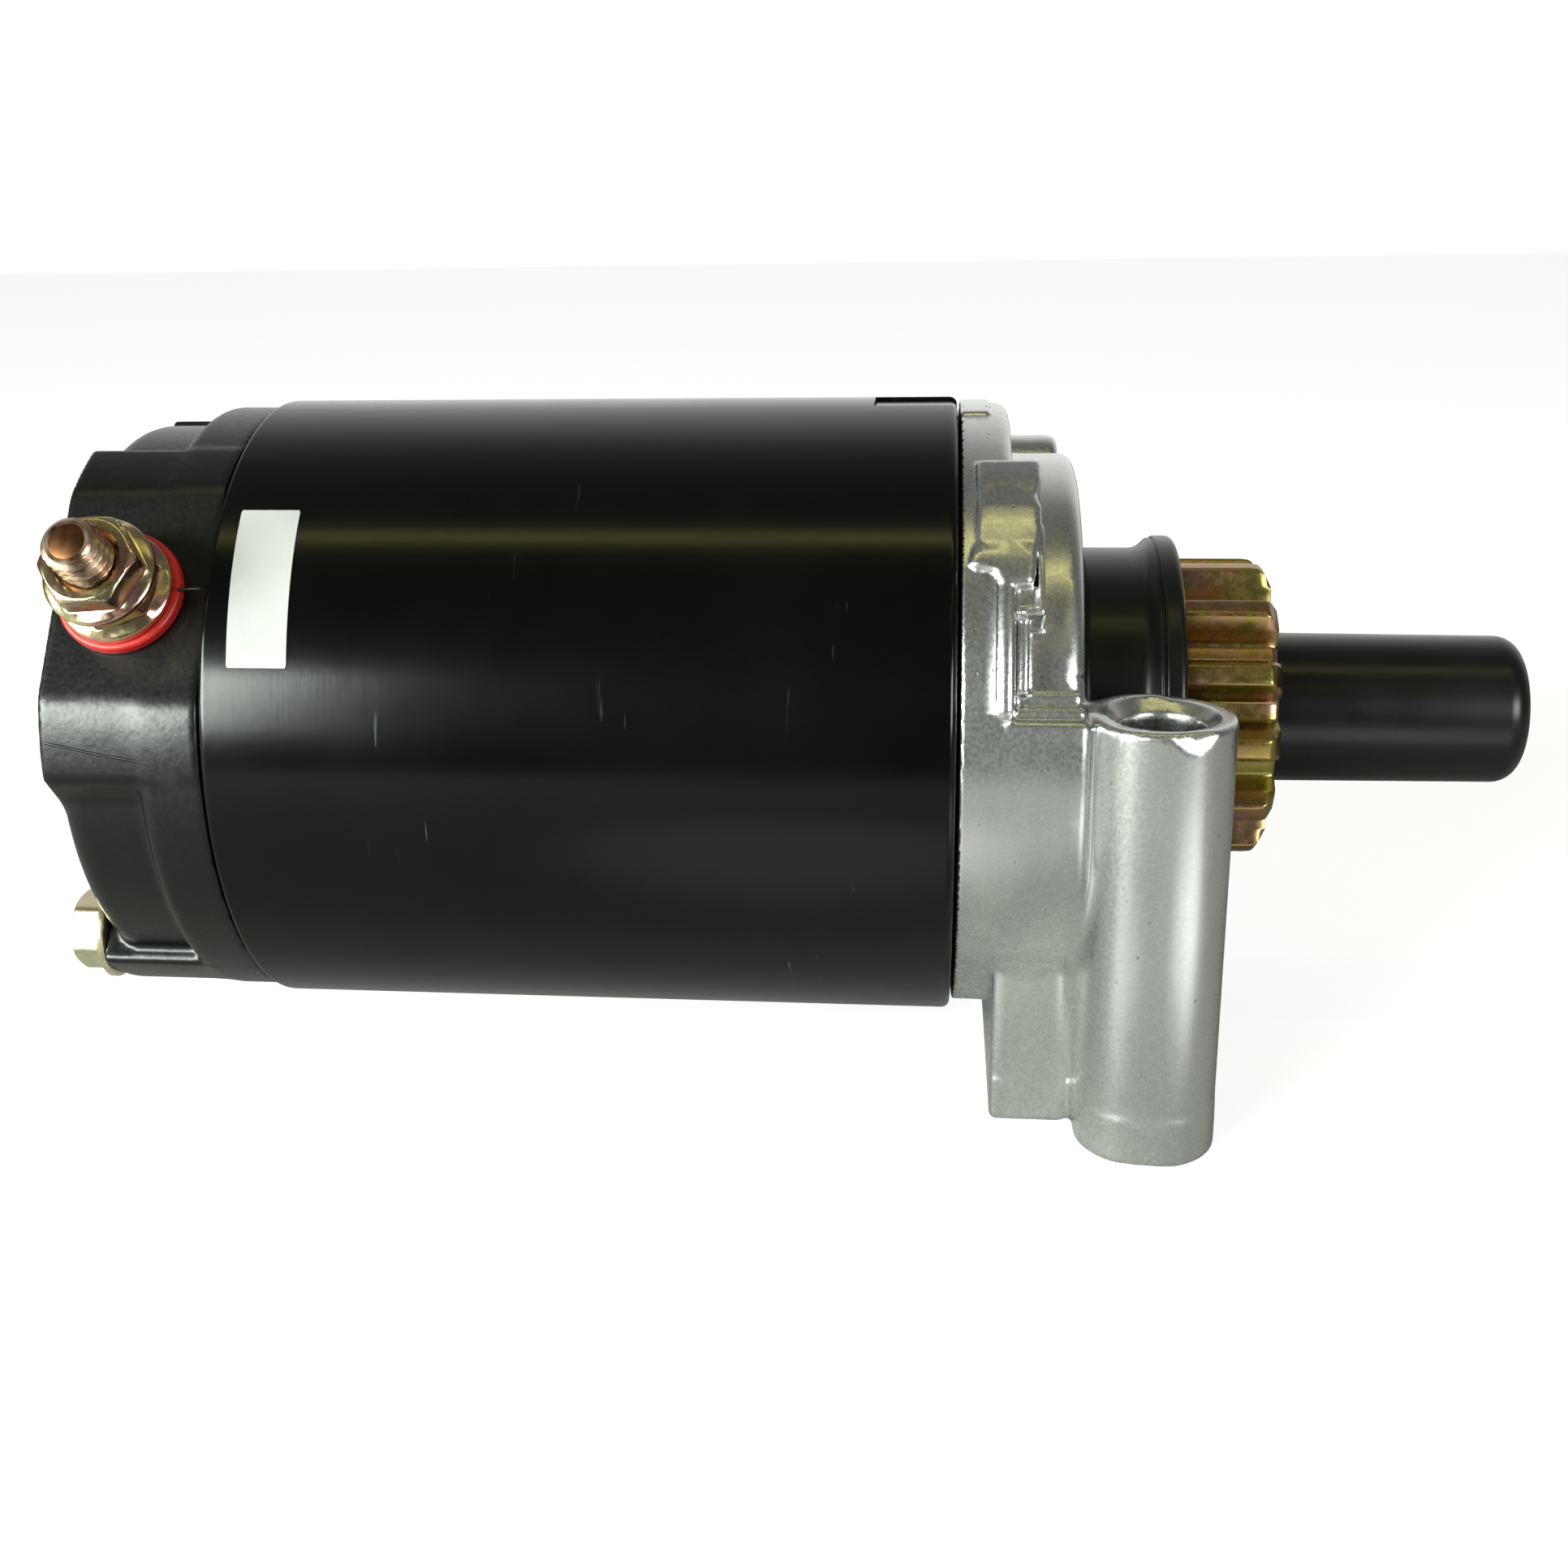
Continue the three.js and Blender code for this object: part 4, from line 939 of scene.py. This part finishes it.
def cut_casting(field):
    """Bores, the inside, the bolt holes, the gate scars and a groove near the nose."""
    front, bottom, top = CASTING["front"], FOOT["bottom"], MOUNT["top"]
    scar_turn, scar_tilt, scar_radius, scar_z = math.radians(14.0), math.radians(22.0), 7.75, 6.0
    for side in (-1, 1):
        cy = side * MOUNT["y"]
        past_bore = lambda x, y: np.hypot(x - MOUNT["x"], y - cy) - MOUNT["bore"]
        lead_in = MOUNT["chamfer"] - MOUNT["bore"]
        region = ((MOUNT["x"] - 7, cy - 7, bottom - 1), (MOUNT["x"] + 7, cy + 7, top + 1))
        field.cut(lambda x, y, z: past_bore(x, y) + 0 * z, region, 0.2)
        field.cut(lambda x, y, z: (past_bore(x, y) - (z - top + lead_in)) * 0.7, region)
        field.cut(lambda x, y, z: (past_bore(x, y) - (bottom + 0.6 - z)) * 0.7, region)
        level = math.cos(scar_tilt)
        nx, ny, nz = math.sin(scar_turn) * level, side * math.cos(scar_turn) * level, math.sin(scar_tilt)
        px, py = MOUNT["x"] + scar_radius * math.sin(scar_turn), cy + side * scar_radius * math.cos(scar_turn)
        near, far = sorted((cy + side * 3, cy + side * 8.5))
        field.cut(lambda x, y, z: -((x - px) * nx + (y - py) * ny + (z - scar_z) * nz),
                  ((MOUNT["x"] - 6, near, 2), (MOUNT["x"] + 8, far, 9)), 0.15)
    hollow, boss = 28.0, 11.0
    field.cut(lambda x, y, z: within(np.hypot(y, z) - hollow, x - front + 6, fillet=1.0))
    field.add(rod(boss, 7.2, front - 2, 0.5), blend=1.2)
    field.cut(rod(BUSHING_OUTER + GAP, 5.0, 20.0))
    field.cut(lambda x, y, z: within(slab(np.hypot(y, z), 22.5, 27.5), front - 0.7 - x, x - front - 0.4),
              (field.low, (front + 1, 39, 38)), 0.3)
    field.values = np.maximum(field.values, (bottom - field.axes[2])[None, None, :]).astype(np.float32)
    bolt_holes(field, CASTING["spigot"] - 2, front + 2)


def make_casting():
    """The drive-end housing: nose, flange, wall, lug, foot and mounting tubes in one casting."""
    field = Field((CASTING["spigot"], -39.0, FOOT["bottom"]), (31.2, 39.0, 38.2), 0.36)
    for add in (add_shell, add_lug, add_far_side, add_foot, add_mounts, cut_casting):
        add(field)
    finish_piece(field.make("drive_end_casting"), "aluminium", "cast_aluminium", "drive_end_housing")
    split = 4.95
    for name, angles, radius, height, half in (("lug_parting_line", (50.5, 61.5), 38.0, 0.16, 0.13),
                                               ("rib_parting_line", (15.0, 37.5), 37.35, 0.2, 0.15)):
        ridge(name, [(split, angle) for angle in angles], radius, height, half, "aluminium", "cast_aluminium")


# ---- armature shaft and drive ----


def spline_reach(angle, x, clearance=0.0):
    """The radius of the helical spline at an angle, with sloped flanks between root and crest."""
    pitch = 360 / SPLINE["starts"]
    turned_angle = angle - 360 * x / SPLINE["lead"]
    away = np.abs((turned_angle + pitch / 2) % pitch - pitch / 2)
    flank = 4.0
    share = np.clip((SPLINE["half"] + flank / 2 - away) / flank, 0, 1)
    return SPLINE["root"] + (SPLINE["outer"] - SPLINE["root"]) * share + clearance


def make_shaft():
    """The armature shaft with its helical spline, tail and circlip groove."""
    columns = np.arange(180) * 2.0
    journal, main, tail = 5.0, 6.0, 4.6
    low, high = span("armature_shaft")
    stop_front = span("stop_collar")[1][0]
    groove = (stop_front + 0.2, stop_front + 1.4)
    shoulder, step, tail_start = -92.7, 19.5, 54.0
    plain = [(low[0], 0.2), (low[0], journal - 0.6), (low[0] + 0.6, journal), (shoulder, journal),
             (shoulder, main - 0.2), (shoulder + 0.2, main), (step, main), (step + 0.3, main - 0.2)]
    rings = [ring_at(x, radius, columns) for x, radius in plain]
    for x in np.arange(step + 0.8, tail_start, 0.8):
        run_in = min(1.0, (x - step - 0.7) / 2.5, (tail_start + 0.5 - x) / 1.5)
        reach = SPLINE["root"] + (spline_reach(columns, x) - SPLINE["root"]) * run_in
        rings.append(ring_at(x, reach, columns))
    end = [(tail_start, tail), (groove[0], tail), (groove[0], tail - 0.7), (groove[1], tail - 0.7),
           (groove[1], tail), (high[0] - 0.6, tail), (high[0], tail - 0.6), (high[0], 0.2)]
    rings += [ring_at(x, radius, columns) for x, radius in end]
    piece = loft("armature_shaft_splined", rings, sharp=32)
    finish_piece(piece, "steel", "shaft_steel", "armature_shaft", body="armature")


def make_cup():
    """The pressed drive cup: a straight skirt that flares out to a rolled rim band."""
    low, high = span("drive_cup")
    rear, rim, rim_radius = low[0], high[0], radius_of("drive_cup")
    outer, inner, floor, bore = 19.6, 18.0, rear + 3.0, 6.3
    piece = revolve("drive_cup_pressed", [
        [rear, bore, 0.2], [rear, outer, 1.0], [23.1, outer, 2.2], [24.5, rim_radius - 0.15, 0.3],
        [24.7, rim_radius - 0.35, 0], [24.85, rim_radius - 0.35, 0], [25.0, rim_radius, 0.3],
        [rim, rim_radius, 0.9], [rim, rim_radius - 1.4, 0.4], [24.0, inner, 1.5], [floor, inner, 0.8],
        [floor, bore, 0.2]], sides=180, sharp=50)
    finish_piece(piece, "cup", "black_paint", "drive_cup", body="armature")


def tooth_outline():
    """The pinion's outline in y and z: broad teeth with rounded tips, bulging flanks and rounded roots."""
    pitch = 360 / PINION["teeth"]
    middle = (PINION["root"] + PINION["tip"]) / 2
    shape = [(-0.42, PINION["root"], 0), (-0.33, PINION["root"], 0.7), (-0.235, middle, 2.5),
             (-0.135, PINION["tip"], 0.6), (-0.05, PINION["tip"], 0), (0.05, PINION["tip"], 0),
             (0.135, PINION["tip"], 0.6), (0.235, middle, 2.5), (0.33, PINION["root"], 0.7),
             (0.42, PINION["root"], 0)]
    corners = []
    for tooth in range(PINION["teeth"]):
        for part, radius, fillet in shape:
            y, z = polar(radius, pitch * (tooth + part))
            corners.append([y, z, fillet])
    return rounded_path(corners, turn_step=16, support=0)


def make_pinion():
    """The pinion: chamfered teeth on a hub with a helical spline bore."""
    outline = tooth_outline()
    radius, angle = np.hypot(outline[:, 0], outline[:, 1]), turn_of(outline[:, 0], outline[:, 1])
    rear, front, tooth_rear, hub = PINION["rear"], PINION["front"], PINION["tooth_rear"], PINION["hub"]
    chamfer = 1.7

    def ring(x, reach):
        return ring_at(x, reach, angle)
    rings = [ring(x, spline_reach(angle, x, 0.25)) for x in np.linspace(front - 0.3, rear + 0.3, 24)]
    for x, reach in ((rear, 6.6), (rear, hub - 0.6), (rear + 0.2, hub - 0.2), (rear + 0.6, hub),
                     (tooth_rear - 0.3, hub), (tooth_rear, hub + 0.2)):
        rings.append(ring(x, np.full(len(angle), reach)))
    rings.append(ring(tooth_rear, radius - 0.35))
    rings.append(ring(tooth_rear + 0.12, radius - 0.1))
    rings.append(ring(tooth_rear + 0.35, radius))
    rings.append(ring(front - chamfer - 0.8, radius))
    for t in np.linspace(0, 1, 9):
        x = front - chamfer + (chamfer - 0.15) * t
        fall = PINION["tip"] - chamfer * 1.15 * t ** 1.7
        inset = 0.28 * t ** 3
        rings.append(ring(x, blended(radius - inset, np.full(len(angle), fall), 0.3)))
    last = np.minimum(radius - 0.5, PINION["tip"] - chamfer * 1.15 - 0.25)
    rings.append(ring(front, last))
    for x, reach in ((front, 13.2), (front - 0.35, 12.7), (front - 0.35, 9.6), (front, 9.2), (front, 6.6)):
        rings.append(ring(x, np.full(len(angle), reach)))
    piece = loft("drive_pinion_plated", rings, torus=True, sharp=38)
    finish_piece(piece, "pinion_zinc", "pinion_zinc", "drive_pinion", body="pinion")


def make_dust_cover():
    """The moulded cover over the splines: a slightly tapered tube with a rounded blind end."""
    low, high = span("dust_cover")
    mouth, tip, wide = low[0], high[0], radius_of("dust_cover")
    narrow, wall = wide - 0.2, 1.4
    piece = revolve("dust_cover_moulding", [
        [tip - wall, 0.15, 0], [tip - wall, narrow - wall, 1.4], [mouth, wide - wall, 0.2],
        [mouth, wide, 0.4], [mouth + 1.2, wide, 0], [tip - 6, narrow + 0.03, 0], [tip, narrow, 2.8], [tip, 2.4, 0.3],
        [tip - 0.12, 2.2, 0], [tip - 0.12, 0.15, 0]], closed=False, sharp=50)
    finish_piece(piece, "plastic", "black_plastic", "dust_cover", body="drive_carriage")


def make_collar(node, name, body, bore, fillet):
    """A plain steel ring round the shaft."""
    (rear, *_), (front, *_) = span(node)
    wide = radius_of(node)
    piece = revolve(name, [
        [rear, bore, 0.15], [rear, wide, fillet], [front, wide, fillet], [front, bore, 0.15]], sides=96)
    finish_piece(piece, "steel", "shaft_steel", node, body=body)


def wire_rings(points, radius, sides=14):
    """Round sections along a path of points."""
    points = np.asarray(points, float)
    along = np.gradient(points, axis=0)
    along /= np.linalg.norm(along, axis=1)[:, None]
    side = np.cross(along, np.array([1.0, 0.0, 0.0]))
    side /= np.linalg.norm(side, axis=1)[:, None]
    other = np.cross(along, side)
    turn = np.arange(sides) * 2 * math.pi / sides
    return (points[:, None] + radius * (np.cos(turn)[None, :, None] * side[:, None]
                                        + np.sin(turn)[None, :, None] * other[:, None]))


def make_drift_spring():
    """The light spring that holds the pinion back, its end coils closed up."""
    low, high = span("anti_drift_spring")
    wire, turns = 0.5, 7.0
    mean = 6.8
    t = np.linspace(0, 1, 340)
    closed = 1.0 / turns
    ease = np.clip((t - closed) / (1 - 2 * closed), 0, 1)
    start, end = low[0] + wire, high[0] - wire
    pitch_of_closed = 2.1 * wire
    x = start + pitch_of_closed * np.minimum(t / closed, 1) + pitch_of_closed * np.clip(
        (t - 1 + closed) / closed, 0, 1) + (end - start - 2 * pitch_of_closed) * ease
    y, z = polar(mean, 360 * turns * t)
    piece = loft("anti_drift_coil", wire_rings(np.column_stack([x, y, z]), wire))
    finish_piece(piece, "spring", "spring_steel", "anti_drift_spring", body="armature")


# ---- carried-over nodes ----

CARRIED = {                                 # the start of each node's name, and its material
    "magnet_": "ferrite", "rear_bushing": "bronze", "front_bushing": "bronze", "thrust_washer_": "bronze",
    "brush_plate": "phenolic", "terminal_sleeve": "phenolic", "commutator_hub": "phenolic",
    "brush_spring_": "spring", "retaining_ring": "spring", "brush_lead_": "braid", "brush_": "carbon",
    "armature_core": "lamination", "armature_winding": "winding", "commutator": "commutator",
    "cup_cushion": "rubber"}
WIRES = ("brush_spring", "brush_lead")


def dress_carried_nodes():
    """Materials for the CAD nodes that stay, with small bevels where they have machined edges."""
    for name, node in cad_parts.items():
        start = next((start for start in CARRIED if name.startswith(start)), None)
        if start is None:
            continue
        node.data.materials.clear()
        node.data.materials.append(MATERIALS[CARRIED[start]])
        for polygon in node.data.polygons:
            polygon.use_smooth = True
        if name.startswith(WIRES):
            continue
        node.data.set_sharp_from_angle(angle=math.radians(35))
        bevel = node.modifiers.new("eased_edges", "BEVEL")
        bevel.width = 0.18 * MM
        bevel.segments = 2
        bevel.limit_method = "ANGLE"
        bevel.angle_limit = math.radians(40)


# ---- floor, light and camera ----


# Painted light: glowing pools on the floor, each (centre in metres, reach, strength), standing in for the soft
# boxes' light; they show only in reflections and bounced light
PAINTED_LIGHT_POOLS = [((-0.030, -0.085, 0.0), 0.045, 0.5), ((0.068, -0.100, 0.0), 0.060, 1.4)]


def make_floor():
    """A pale matt sheet under the motor, with painted pools of light glowing on it at either side where the soft
    boxes would light it.
    """
    wide, near, far = 1.6, -0.26, 1.8
    mesh = bpy.data.meshes.new("pale_floor")
    mesh.from_pydata([(x, y, 0.0) for y in (near, far) for x in (-wide, wide)], [], [(0, 1, 3, 2)])
    floor = bpy.data.objects.new("pale_floor", mesh)
    bpy.context.scene.collection.objects.link(floor)

    s = Shader("pale_floor", ior=1.5)
    s.set(Base_Color=(0.36, 0.36, 0.35, 1), Roughness=0.9)
    sheet = lit = s.bsdf.outputs[0]
    # each painted pool of light glows strongest near its centre and fades out by its reach
    for centre, reach, strength in PAINTED_LIGHT_POOLS:
        away = s.node("ShaderNodeVectorMath", {0: s.place, 1: centre}, operation="DISTANCE").outputs["Value"]
        fall = s.spread(away, strength, 0.0, 0.3 * reach, reach, interpolation_type="SMOOTHSTEP")
        painted_pool = s.node("ShaderNodeEmission", {"Strength": fall})
        lit = s.node("ShaderNodeAddShader", {0: lit, 1: painted_pool.outputs[0]}).outputs[0]
    glow = s.node("ShaderNodeEmission", {"Strength": 0.8})
    both = s.node("ShaderNodeAddShader", {0: sheet, 1: glow.outputs[0]})
    seen = s.node("ShaderNodeLightPath").outputs["Is Camera Ray"]
    mix = s.node("ShaderNodeMixShader", {0: seen, 1: lit, 2: both.outputs[0]})
    s.feed(s.tree.nodes["Material Output"].inputs[0], mix.outputs[0])
    floor.data.materials.append(s.material)


def make_world():
    """Soft surroundings: bright behind the motor and dim in front of it and overhead."""
    world = bpy.data.worlds.new("studio")
    bpy.context.scene.world = world
    world.use_nodes = True
    s = Nodes(world.node_tree)
    place = s.node("ShaderNodeTexCoord").outputs["Generated"]
    along_y = s.node("ShaderNodeSeparateXYZ", {0: place}).outputs["Y"]
    greys = [(0.0, 0.10), (0.5, 0.12), (0.67, 0.18), (0.77, 0.34), (0.854, 0.72), (1.0, 1.15)]
    sky = s.ramp(s.spread(along_y, 0, 1, -1, 1), [(at, (grey, grey, grey * 0.97)) for at, grey in greys])
    seen = s.node("ShaderNodeLightPath").outputs["Is Camera Ray"]
    s.feed(s.tree.nodes["Background"].inputs["Color"], s.blend(seen, sky, (1.0, 1.0, 1.0)))


def add_light(name, azimuth, elevation, distance, size, radiance, colour):
    """A soft rectangular light aimed at the motor, at a bearing from -Y towards +X and a height angle."""
    centre = Vector(ORIGIN)
    a, e = math.radians(azimuth), math.radians(elevation)
    direction = Vector((math.sin(a) * math.cos(e), -math.cos(a) * math.cos(e), math.sin(e)))
    data = bpy.data.lights.new(name, "AREA")
    data.shape = "RECTANGLE"
    data.size, data.size_y = size
    data.energy = radiance * math.pi * size[0] * size[1]
    data.color = colour
    light = bpy.data.objects.new(name, data)
    light.location = centre + direction * distance
    light.rotation_mode = "QUATERNION"
    light.rotation_quaternion = direction.to_track_quat("Z", "Y")
    light.visible_camera = False
    bpy.context.scene.collection.objects.link(light)


def add_lights():
    add_light("left_soft_box", -46, 13, 0.9, (0.66, 0.33), 31.0, (0.94, 1.0, 0.94))
    add_light("right_soft_box", 43, 13, 0.9, (0.36, 0.30), 14.0, (0.97, 1.0, 0.97))
    add_light("warm_strip", 0, 76, 1.0, (1.3, 0.065), 3.2, (1.0, 0.93, 0.34))
    add_light("warm_strip_low", 38, 46, 1.1, (0.9, 0.04), 1.2, (1.0, 0.95, 0.40))


CAMERA = {"place": (-2.6, -228.1, 66.5), "yaw": -6.44, "pitch": -17.37, "roll": -1.16, "lens": 42.8,
          "shift": (0.0389, -0.0282)}


def add_camera():
    """The camera, placed in the shaft frame; yaw turns it to the left and pitch down from level along +Y."""
    yaw, pitch, roll = (math.radians(CAMERA[key]) for key in ("yaw", "pitch", "roll"))
    forward = Vector((math.sin(yaw) * math.cos(pitch), math.cos(yaw) * math.cos(pitch), math.sin(pitch)))
    level = forward.cross(Vector((0, 0, 1))).normalized()
    right = level * math.cos(roll) + level.cross(forward) * math.sin(roll)
    up = right.cross(forward)
    data = bpy.data.cameras.new("camera")
    data.lens = CAMERA["lens"]
    data.shift_x, data.shift_y = CAMERA["shift"]
    data.clip_start, data.clip_end = 0.01, 20
    camera = bpy.data.objects.new("camera", data)
    turn = Matrix((right, up, -forward)).transposed()
    camera.matrix_world = Matrix.Translation(to_row(CAMERA["place"])) @ turn.to_4x4()
    bpy.context.scene.collection.objects.link(camera)
    bpy.context.scene.camera = camera


# ---- the whole motor ----

add_camera()
make_frame_tube()
make_label()
make_end_cap()
make_stud()
make_insulator()
make_nut("terminal_nut_inner", "terminal_nut_lower", 36.62, 41.2, 6.6, 1.3, 8.0)
make_nut("terminal_nut_outer", "terminal_nut_upper", 41.22, 45.6, 6.4, 1.0, 26.0)
for number, bolt_angle in enumerate(BOLT_ANGLES, start=1):
    make_through_bolt(number, bolt_angle)
make_casting()
make_shaft()
make_cup()
make_pinion()
make_dust_cover()
make_collar("dust_cover_spacer", "dust_cover_spacer_ring", "drive_carriage", 6.3, 0.3)
make_collar("stop_collar", "stop_collar_ring", "armature", 4.8, 0.35)
make_drift_spring()
dress_carried_nodes()

make_floor()
make_world()
add_lights()
bpy.context.scene.view_settings.view_transform = "Standard"
